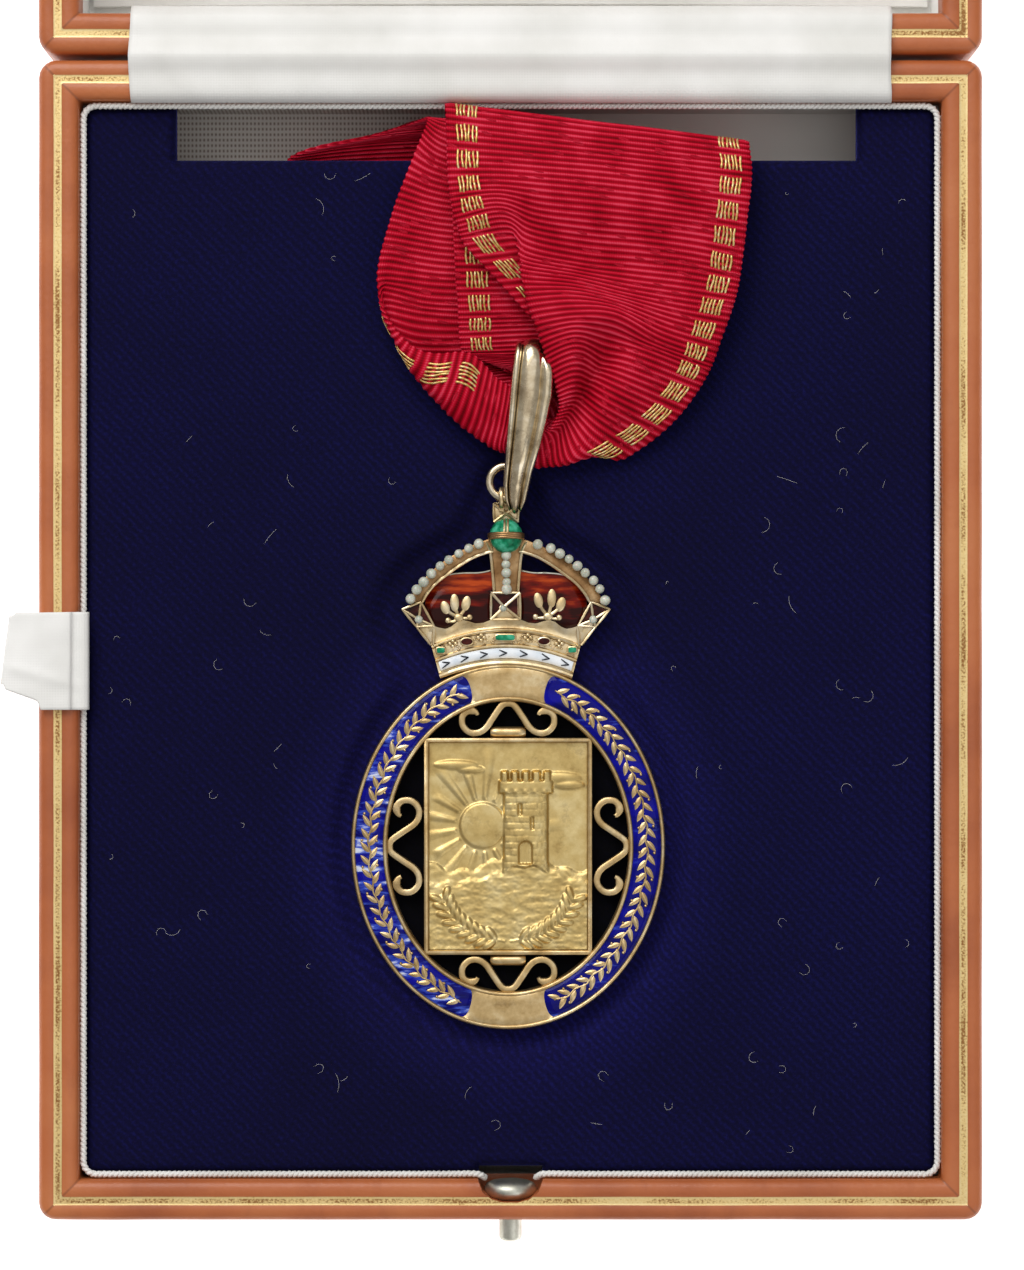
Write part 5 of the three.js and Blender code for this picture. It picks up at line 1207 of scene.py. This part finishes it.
ground = np.where(gy < nearHill, 0.42 + 0.16 * smoothStep(0, 0.7, depth) + turf, ground)
# the tower: courses of stone on a drum, a battlement, a door and two slits
towerX, courseTall = 2.2, 0.82
tx, half = gx - towerX, 2.75 + 0.25 * smoothStep(0, -6, gy)
drum = np.sqrt(np.clip(1 - (tx / half) ** 2, 0, 1))
courseRun = (gy + 20) / courseTall
course = np.floor(courseRun)
joint = np.minimum(np.abs(courseRun % 1 - 0.5), 0.5)
angleRound = np.arcsin(np.clip(tx / half, -1, 1)) * 3.4 + 0.5 * (course % 2)
upright = np.abs(angleRound % 1 - 0.5)
mortar = np.maximum(smoothStep(0.4, 0.5, joint), smoothStep(0.42, 0.5, upright))
stone = 0.5 + 0.42 * drum - 0.07 * mortar + 0.025 * np.sin(course * 2.1 + np.floor(angleRound) * 1.7)
inTower = (np.abs(tx) < half) & (gy < 7.0) & (gy > nearHill - 0.4)
ground = np.where(inTower, np.maximum(stone, ground), ground)
headHalf = 3.35
head = np.sqrt(np.clip(1 - (tx / headHalf) ** 2, 0, 1))
merlon = (np.abs(((tx / 1.34) + 0.5) % 1 - 0.5) < 0.3) & (gy < 9.4)
inHead = (np.abs(tx) < headHalf) & (gy >= 6.6) & ((gy < 8.2) | merlon)
corbel = 0.07 * np.cos(tx * 5.2) * smoothStep(7.3, 6.9, gy)
ground = np.where(inHead, 0.58 + 0.42 * head + corbel - 0.05 * smoothStep(0.1, 0.0, np.abs(gy - 8.1)), ground)
door = (np.abs(tx) < 0.85) & (gy < -0.2 + np.sqrt(np.clip(0.85 ** 2 - tx ** 2, 0, 1))) & (gy > -2.2)
ground = np.where(door & inTower, 0.5 + 0.04 * np.cos(tx * 14), ground)
for slitX, slitY in ((1.5, 4.6), (3.0, 2.9)):
    slit = (np.abs(gx - slitX) < 0.22) & (np.abs(gy - slitY) < 0.75)
    ground = np.where(slit, ground - 0.3, ground)
# sprays: leaves on two curved stems
for hand in (-1, 1):
    stemLine = curveThrough([(hand * 0.4, -11.9, 0), (hand * 3.6, -11.2, 0), (hand * 6.6, -9.2, 0),
                             (hand * 8.4, -6.2, 0)], 40)
    for px, py, _ in stemLine:
        ground = np.maximum(ground, 0.92 - 2.6 * np.hypot(gx - px, gy - py))
    for k in range(4, 40, 4):
        px, py, _ = stemLine[k]
        dx, dy, _ = stemLine[min(k + 1, 39)] - stemLine[k - 1]
        for lean in (-0.75, 0.75):
            turn = math.atan2(dy, dx) + lean
            u = (gx - px) * math.cos(turn) + (gy - py) * math.sin(turn)
            v = -(gx - px) * math.sin(turn) + (gy - py) * math.cos(turn)
            body = 1 - ((u - 1.05) / 1.0) ** 2 - (v / 0.42) ** 2
            leaf = 0.62 + 0.36 * np.sqrt(np.clip(body, 0, 1)) - 0.12 * np.exp(-(v / 0.06) ** 2)
            ground = np.where(body > 0, np.maximum(ground, leaf), ground)
for _ in range(2):
    padding = np.pad(ground, 1, mode="edge")
    ground = (2 * ground + padding[:-2, 1:-1] + padding[2:, 1:-1] + padding[1:-1, :-2] + padding[1:-1, 2:]) / 6
heights = relief["low"] + (relief["top"] - relief["low"]) * np.clip(ground, 0, 1.05) / 1.05
bm = skin(np.stack([gx, gy, heights], axis=2))
closeUnder(bm, 0.95)
finishPiece("plaqueRelief", [(atBadge(bm), 0)], [reliefGilt], "case", ["plaque_relief"], 60)
print("relief struck")

# Crown: a pierced casting with enamel caps, an ermine band, pearls and an orb
crown = {"x": -0.56, "y": -4.54, "z": 14.3, "pearl": 0.64}
band = {"half": 8.3, "flare": 1.0, "tall": 3.7, "bow": 1.66, "bowMore": 0.45}


def atCrown(bm):
    bmesh.ops.translate(bm, verts=bm.verts, vec=(crown["x"], crown["y"], crown["z"]))
    return bm


def onBand(height, share):
    # A point on the band at a height from its foot; share runs from -1 at the left to 1
    half = band["half"] + band["flare"] * height / band["tall"]
    rise = band["bow"] + band["bowMore"] * height / band["tall"]
    return share * half, height + rise * (1 - share * share)


scallop = [(0, 7.3), (1.8, 7.1), (2.8, 6.7), (3.8, 6.6), (4.7, 6.9), (5.4, 7.05), (6.1, 6.8), (6.7, 6.25), (7.4, 5.92),
           (8.3, 6.1), (9.2, 6.5)]
bandProfile = [(-0.3, 0.1), (-0.3, 2.3), (-0.22, 2.55), (-0.04, 2.72), (0.2, 2.7), (0.38, 2.5), (0.48, 2.15),
               (0.52, 1.85), (1.7, 1.85), (1.76, 2.06), (1.9, 2.28), (2.05, 2.28), (2.16, 2.1), (2.2, 1.98),
               (2.8, 2.06), (3.38, 1.98), (3.42, 2.1), (3.54, 2.36), (3.7, 2.44), (3.86, 2.34), (3.94, 2.12)]
rows = []
for share in np.linspace(-1, 1, 81):
    row = [(*onBand(h, share), z) for h, z in bandProfile]
    footX, footY = onBand(3.94, share)
    headY = max(np.interp(abs(footX), [p[0] for p in scallop], [p[1] for p in scallop]), footY + 0.25)
    flare = 1 + 0.035 * abs(share) ** 3
    for t, z in ((0.25, 2.04), (0.55, 2.14), (0.85, 2.4), (1.0, 2.44), (1.02, 2.2), (1.0, 1.5)):
        row.append((footX * (1 + (flare - 1) * t), footY + (headY - footY) * t, z))
    row += [(*onBand(3.2, share), 0.1)]
    rows.append(row)
gold = [skin(rows, around=True, capped=True)]

archOuter = [(-12.2, 9.1), (-11.5, 10.75), (-10.5, 12.0), (-9.1, 13.4), (-7.4, 14.7), (-5.4, 15.85), (-3.3, 16.8),
             (-1.7, 17.3)]
archInner = [(-1.6, 15.6), (-2.3, 15.5), (-4.0, 14.9), (-5.9, 13.8), (-7.4, 12.7), (-8.75, 11.65), (-9.9, 10.3),
             (-10.5, 9.2)]
pearlSpots = {
    "left": [(-11.92, 9.69), (-11.15, 10.84), (-10.29, 11.79), (-9.33, 12.84), (-8.23, 13.8), (-7.13, 14.57),
             (-5.89, 15.33), (-4.65, 16.0), (-3.4, 16.57)],
    "right": [(3.96, 16.48), (5.59, 16.0), (6.73, 15.33), (7.88, 14.66), (8.93, 13.8), (9.89, 12.94), (10.94, 11.98),
              (11.71, 10.93), (12.38, 9.5)],
    "centre": [(0.04, 15.14), (0.0, 14.0), (0.04, 12.95), (0.08, 11.79), (0.08, 10.9)],
}
post = [(-1.75, 6.0), (1.75, 6.0), (1.6, 10.5), (1.9, 15.0), (2.4, 16.6), (-2.4, 16.6), (-1.9, 15.0), (-1.6, 10.5)]
ground = [plate(post, 0.3, 1.95, 0.12)]
sideHeart = (-10.9, 7.1)


def turned(points, hand):
    # An outline as it is, or mirrored and still running the same way round
    return [(x * hand, y) for x, y in points][::hand]


for hand in (1, -1):
    outer = [tuple(p) for p in curveThrough([(x, y, 0) for x, y in archOuter], 26)[:, :2]]
    inner = [tuple(p) for p in curveThrough([(x, y, 0) for x, y in archInner], 22)[:, :2]]
    ground.append(plate(turned(outer + inner, hand), 0.3, 2.15, 0.15))
    gold.append(tube([(x * hand, y, 2.25) for x, y in inner], 0.2, 8))
    postEdge = [(x * hand, y, 2.05) for x, y in ((-2.6, 16.9), (-2.0, 15.6), (-1.7, 13.2), (-1.5, 10.5))]
    gold.append(tube(curveThrough(postEdge, 20), 0.2, 8))
    # the side cross, seen from its edge: four small recesses between raised bars
    corners = [(-9.15, 4.2), (-8.9, 6.3), (-10.65, 9.3), (-11.25, 8.55), (-13.0, 8.4), (-11.25, 6.3), (-9.75, 4.0)]
    gold.append(plate(turned(corners, hand), 0.3, 2.2, 0.15))
    rim = [(-13.0, 8.4), (-10.65, 9.3), (-9.0, 6.3), (-11.2, 6.2)]
    bars = list(zip(rim, rim[1:] + rim[:1])) + [(spot, sideHeart) for spot in rim]
    for (ax, ay), (bx, by) in bars + [((-11.2, 6.2), (-9.4, 3.9)), ((-8.95, 6.3), (-9.1, 3.9))]:
        gold.append(bar((ax * hand, ay), (bx * hand, by), 2.4, 2.44, 0.2))
    # a fleur between the crosses: three fat lobes on a short stem, with a curl at each side
    lobes = {1: [((-7.6, 8.6), 0.85, 16), ((-6.43, 9.2), 1.12, 2), ((-5.0, 9.1), 0.98, -14)],
             -1: [((4.06, 9.5), 0.98, 12), ((5.72, 9.75), 1.18, -2), ((6.85, 9.0), 0.95, -20)]}[hand]
    stem, curls = {1: ((-5.9, 7.35), ((-7.25, 7.0), (-4.55, 7.4))),
                   -1: ((5.25, 7.5), ((3.7, 7.45), (6.65, 7.35)))}[hand]
    for (px, py), tall, turn in lobes:
        gold.append(ball((px, py, 2.5), (0.56, tall, 0.16), turn, 16))
        gold.append(ball((px, py, 2.2), (0.5, tall * 0.96, 0.4), turn, 16))
        gold.append(tube(curveThrough([(*stem, 2.3), ((px * 2 + stem[0]) / 3, (py + stem[1]) / 2, 2.35),
                                       (px, py, 2.4)], 8), 0.24, 8))
    gold.append(ball((*stem, 2.5), (0.6, 0.5, 0.2)))
    for px, py in curls:
        gold.append(ball((px, py, 2.45), (0.38, 0.38, 0.2), 0, 12))
        gold.append(tube(curveThrough([(*stem, 2.3), ((px + stem[0]) / 2, py - 0.15, 2.35), (px, py - 0.1, 2.35)],
                                      8), 0.2, 8))

# the centre cross: a square of raised bars with four sunk fields
centreCross = [(-2.05, 7.1), (1.65, 7.1), (1.6, 10.45), (-2.0, 10.45)]
gold.append(plate([(x + 0.15, y) for x, y in centreCross], 0.5, 2.25, 0.1))
heart = (-0.25, 8.7)
for k, (ax, ay) in enumerate(centreCross):
    bx, by = centreCross[(k + 1) % 4]
    gold.append(bar((ax + 0.15, ay), (bx + 0.15, by), 2.6, 2.6, 0.2))
    gold.append(tube([(ax + 0.15, ay, 2.62), ((ax + heart[0]) / 2 + 0.08, (ay + heart[1]) / 2, 2.66),
                      (*heart, 2.66)], 0.2, 8, tip=1.0))
fields = []
for (ax, ay), (bx, by) in (((-2.05, 7.3), (-2.0, 10.3)), ((1.65, 7.3), (1.6, 10.3)), ((-1.9, 10.45), (1.5, 10.45))):
    fields.append((atCrown(plate([(ax * 0.9 + heart[0] * 0.1, ay * 0.9 + heart[1] * 0.1),
                                  (bx * 0.9 + heart[0] * 0.1, by * 0.9 + heart[1] * 0.1), heart], 2.2, 2.36)), 1))
for hand in (1, -1):
    heartSide = (sideHeart[0] * hand, sideHeart[1])
    for (ax, ay), (bx, by) in (((-13.0, 8.4), (-10.65, 9.3)), ((-10.65, 9.3), (-9.0, 6.3)),
                               ((-11.2, 6.2), (-13.0, 8.4))):
        fields.append((atCrown(plate([(ax * 0.88 * hand + heartSide[0] * 0.12, ay * 0.88 + 0.85),
                                      (bx * 0.88 * hand + heartSide[0] * 0.12, by * 0.88 + 0.85), heartSide],
                                     2.1, 2.26)), 1))
gold.append(tube([(-0.35, 8.5, 2.5), (-0.35, 8.51, 2.7), (-0.35, 8.52, 2.75)], 0.5, 12))

# collets: a small cup under every pearl, beads and settings round the band
for spots in pearlSpots.values():
    for x, y in spots:
        low = 1.8 if abs(x) < 1 else 2.1
        gold.append(tube([(x, y, low), (x, y + 0.001, low + 0.35), (x, y + 0.002, low + 0.62)], 0.52, 10, tip=1.0))
# fine stippling over the circlet's ground
for _ in range(150):
    x, y = onBand(random.uniform(2.3, 3.3), random.uniform(-0.97, 0.97))
    gold.append(ball((x, y, 2.02), [random.uniform(0.09, 0.17)] * 3, 0, 8))
for x, y in ((-3.1, 4.85), (2.75, 4.85), (-6.65, 4.1), (6.65, 4.1)):
    for dx, dy in ((-0.36, 0), (0.36, 0), (0, 0.34), (0, -0.34)):
        gold.append(ball((x + dx, y + dy, 2.2), (0.3, 0.27, 0.26), 0, 10))
bandStones = [(-8.15, 3.25, 0.5, 0.34, greenEnamel, "green_enamel"), (-4.9, 4.35, 0.72, 0.42, darkRed, "red_enamel"),
              (-0.1, 4.85, 1.2, 0.36, greenEnamel, "green_enamel"), (4.75, 4.4, 0.72, 0.42, darkRed, "red_enamel"),
              (8.3, 3.3, 0.5, 0.34, greenEnamel, "green_enamel")]
for k, (x, y, halfX, halfY, finish, slotName) in enumerate(bandStones):
    square = finish is greenEnamel
    power = 5 if square else 2
    rim = []
    for angle in np.linspace(0, 2 * math.pi, 28, endpoint=False):
        c, s = math.cos(angle), math.sin(angle)
        reach = (abs(c) ** power + abs(s) ** power) ** (-1 / power)
        rim.append((x + halfX * reach * c, y + halfY * reach * s))
    gold.append(tube([(px, py, 2.3) for px, py in rim], 0.17, 8, closed=True))
    gold.append(plate(rim, 1.7, 2.2))
    finishPiece(f"bandStone{k + 1}", [(atCrown(plate(rim, 2.15, 2.62, 0.18, 3)), 0)], [finish], "case",
                [f"band_stone_{k + 1}"], 30)

# the orb's gold bands, the cross on top and the eye for the jump ring
orb = {"y": 17.55, "z": 2.75, "radius": 2.08}
ringLine = [(orb["radius"] * 1.03 * math.cos(a), orb["y"] - 0.05 + 0.12 * math.sin(a),
             orb["z"] + orb["radius"] * 1.03 * math.sin(a))
            for a in np.linspace(-0.15, math.pi + 0.15, 30)]
for dy in (-0.24, 0, 0.24):
    ground.append(tube([(x, y + dy, z) for x, y, z in ringLine], 0.19, 8))
meridian = [(0.02, orb["y"] + orb["radius"] * 1.03 * math.sin(a), orb["z"] + orb["radius"] * 1.03 * math.cos(a))
            for a in np.linspace(0, 1.2, 16)]
for dx in (-0.2, 0.2):
    gold.append(tube([(x + dx, y, z) for x, y, z in meridian], 0.16, 8))
topCross = [(-1.6, 19.3), (1.6, 19.3), (1.65, 21.65), (-1.65, 21.65)]
gold.append(plate(topCross, 0.3, 1.6, 0.12))
heart = (0.0, 20.45)
for k, (ax, ay) in enumerate(topCross):
    bx, by = topCross[(k + 1) % 4]
    gold.append(bar((ax * 0.94, ay), (bx * 0.94, by), 1.68, 1.68, 0.19))
    gold.append(tube([(ax * 0.94, ay, 1.7), (ax * 0.47, (ay + heart[1]) / 2, 1.72), (*heart, 1.74)], 0.24, 8, tip=1.0))
eye = {"x": -0.59, "y": 22.31, "z": 3.3, "radius": 1.1, "wire": 0.3}
eyeRing = [(eye["x"], eye["y"] + eye["radius"] * math.cos(a), eye["z"] + eye["radius"] * math.sin(a))
           for a in np.linspace(0, 2 * math.pi, 28, endpoint=False)]
gold.append(tube(eyeRing, eye["wire"], 10, closed=True))
gold.append(plate([(-0.92, 20.6), (-0.26, 20.6), (-0.26, 22.2), (-0.92, 22.2)], 0.6, 2.6, 0.12))
finishPiece("crownGold", [(atCrown(part), 0) for part in gold] + fields + [(atCrown(part), 2) for part in ground],
            [brightenedCrownGilt, darkRed, tarnishedGilt], "case", ["crown"], 42)

# enamel caps, domed a little
capLine = [(-10.2, 8.6), (-9.9, 10.1), (-8.8, 11.7), (-7.4, 12.6), (-5.6, 12.9), (-3.4, 12.95), (-1.8, 13.25)]
capFoot = 5.6
for hand, node, name in ((1, "cap_left", "capLeft"), (-1, "cap_right", "capRight")):
    edge = [tuple(p) for p in curveThrough([(x, y, 0) for x, y in capLine], 40)[:, :2]]
    rows = []
    for t in np.linspace(0, 1, 14):
        row = []
        for k, (x, y) in enumerate(edge):
            ends = math.sin(math.pi * (0.08 + 0.84 * k / (len(edge) - 1))) ** 0.6
            swell = math.sin(math.pi * min(t + 0.12, 1)) * ends
            row.append((x * hand * (0.94 + 0.06 * t), capFoot + (y - capFoot) * t, 1.0 + 0.5 * swell))
        rows.append(row)
    bm = skin(rows)
    closeUnder(bm, 0.4)
    lip = tube([(x * hand, y + 0.02, 1.1) for x, y in edge[8:]], 0.13, 6)
    finishPiece(name, [(atCrown(bm), 0), (atCrown(lip), 1)], [redEnamel, claspMetal], "case", [node], 60)

# ermine: white enamel in the band with black tails
rows = []
for share in np.linspace(-0.965, 0.965, 60):
    rows.append([(*onBand(h, share), z) for h, z in ((0.55, 1.8), (0.55, 2.1), (0.68, 2.26), (1.1, 2.34),
                                                     (1.54, 2.26), (1.68, 2.1), (1.68, 1.8))])
tails = [(skin(rows, around=True, capped=True), 0)]
for share in (-0.87, -0.6, -0.32, -0.04, 0.26, 0.58, 0.86):
    x, y = onBand(1.12, share)
    slope = -2 * share * 1.8 / 8.6
    for wing in (1, -1):
        tails.append((tube([(x - 0.5, y - slope * 0.5 + wing * 0.4, 2.33), (x, y + wing * 0.17, 2.38),
                            (x + 0.48, y + slope * 0.45, 2.36)], 0.1, 6), 1))
finishPiece("ermineBand", [(atCrown(bm), n) for bm, n in tails], [whiteEnamel, blackEnamel], "case", ["ermine"],
            40)

for name, spots in pearlSpots.items():
    beads = []
    for x, y in spots:
        low = 2.42 if name == "centre" else 2.72
        size = crown["pearl"] * random.uniform(0.88, 1.06)
        beads.append((atCrown(ball((x, y, low + size * 0.85), (size, size * random.uniform(0.94, 1.0), size),
                                   random.uniform(0, 90), 16)), 0))
    if name == "centre":
        beads.append((atCrown(ball((-0.35, 8.5, 2.95), (0.44, 0.44, 0.42), 0, 16)), 0))
    else:
        beads.append((atCrown(ball((-10.9 if name == "left" else 10.9, 7.1, 2.7), (0.52, 0.52, 0.5), 0, 16)), 0))
    finishPiece("pearls" + name.capitalize(), beads, [pearlNacre], "case", ["pearls_" + name], 0)
finishPiece("orbEnamel", [(atCrown(ball((0, orb["y"], orb["z"]),
                                        (orb["radius"], orb["radius"] * 1.05, orb["radius"]), 0, 32)), 0)],
            [greenEnamel], "case", ["orb"], 0)
print("crown built")

# Jump ring and bail
jump = {"x": -0.6, "y": 19.75, "z": 17.6, "radius": 2.03, "wire": 0.52}
ringPath = [(jump["x"] + jump["radius"] * math.cos(a), jump["y"] + jump["radius"] * math.sin(a), jump["z"])
            for a in np.linspace(0, 2 * math.pi, 64, endpoint=False)]
finishPiece("jumpRing", [(tube(ringPath, jump["wire"], 16, closed=True), 0)], [wornGilt], "case", ["jump_ring"],
            0)

bail = {"strap": 0.8, "topY": 37.0, "tipY": 16.3,
        # (y, left side, right side)
        "sides": [(16.3, 0.0, 1.2), (17.5, -0.7, 2.0), (19.4, -0.9, 2.44), (21.0, -0.8, 2.8), (24.0, -0.6, 3.75),
                  (27.3, -0.34, 4.56), (30.5, -0.1, 5.2), (33.5, 0.2, 5.35), (37.0, 0.75, 5.2)]}
top, tip = bail["topY"], bail["tipY"]
line = [(tip + 0.4, 17.6), (tip + 0.9, 18.6), (tip + 3, 19.1), (23, 20.7), (30, 21.3), (top - 2.2, 21.3),
        (top - 0.7, 20.5), (top - 0.4, 18.9), (top - 1, 17.3), (top - 2.6, 16.7), (26, 16.5), (tip + 3, 16.5),
        (tip + 0.9, 16.6)]
path = curveThrough([(0, y, z) for y, z in line], 150, closed=True)
ahead = np.roll(path, -1, 0) - np.roll(path, 1, 0)
ahead /= np.linalg.norm(ahead, axis=1)[:, None]


def bailBend(s, share):
    # The top of the strap bends lower on its right side
    return -2.6 * float(smoothStep(0.3, 0.75, s)) * share ** 8


rows = []
for p, d in zip(path, ahead):
    share = (p[1] - tip) / (top - tip)
    lowSide, highSide = (np.interp(p[1], [r[0] for r in bail["sides"]], [r[k] for r in bail["sides"]]) for k in (1, 2))
    middle, half = (lowSide + highSide) / 2, (highSide - lowSide) / 2
    # the outside of the strap: a broad round rib between two narrow ones
    out = np.array([0, -d[2], d[1]])
    if np.dot(out, p - np.array([0, (top + tip) / 2, 18.9])) < 0:
        out = -out
    section = []
    for s in np.linspace(-1, 1, 33):
        for low, high, rise in ((-1.0, -0.62, 0.5), (-0.62, 0.46, 0.85), (0.46, 1.0, 0.6)):
            if low <= s <= high:
                bulge = rise * math.sqrt(max(1 - ((s - (low + high) / 2) / ((high - low) / 2)) ** 2, 0))
        section.append(np.array([middle + half * s, p[1] + bailBend(s, share), p[2]])
                       + out * (bail["strap"] / 2 - 0.3 + bulge))
    for s in np.linspace(1, -1, 9):
        section.append(np.array([middle + half * s * 0.97, p[1] + bailBend(s, share), p[2]])
                       - out * bail["strap"] / 2)
    rows.append(section)
finishPiece("fluteBail", [(skin(rows, around=True, along=True), 0)], [wornGilt], "case", ["bail"], 50)
print("bail and ring made")

# Stage: a pale floor under soft light
floorBm = bmesh.new()
bmesh.ops.create_grid(floorBm, x_segments=2, y_segments=2, size=2.0)
floorMesh = bpy.data.meshes.new("paleFloor")
floorBm.to_mesh(floorMesh)
floorBm.free()
floor = bpy.data.objects.new("paleFloor", floorMesh)
bpy.context.scene.collection.objects.link(floor)
card = startMaterial("whiteCard", {"Base Color": "#FFFFFF", "Roughness": 0.9, "Emission Color": "#FFFFFF",
                                   "Emission Strength": 0.8})[0]
floorMesh.materials.append(card)

lights = [("backSoftbox", (-0.35, 0.75, 0.85), 0.8, 9.0), ("overhead", (0.15, 0.2, 1.3), 1.1, 2.0),
          ("frontFill", (0.6, -0.7, 0.7), 0.8, 1.8)]
for name, place, size, power in lights:
    data = bpy.data.lights.new(name, "AREA")
    data.size = size
    data.energy = power
    lamp = bpy.data.objects.new(name, data)
    lamp.location = place
    lamp.rotation_euler = (Vector((0, 0, 0)) - Vector(place)).to_track_quat("-Z", "Y").to_euler()
    bpy.context.scene.collection.objects.link(lamp)
world = bpy.data.worlds.new("paleRoom")
world.use_nodes = True
world.node_tree.nodes["Background"].inputs["Color"].default_value = (1.0, 1.0, 1.0, 1.0)
world.node_tree.nodes["Background"].inputs["Strength"].default_value = 0.36
bpy.context.scene.world = world
bpy.context.scene.view_settings.view_transform = "Standard"
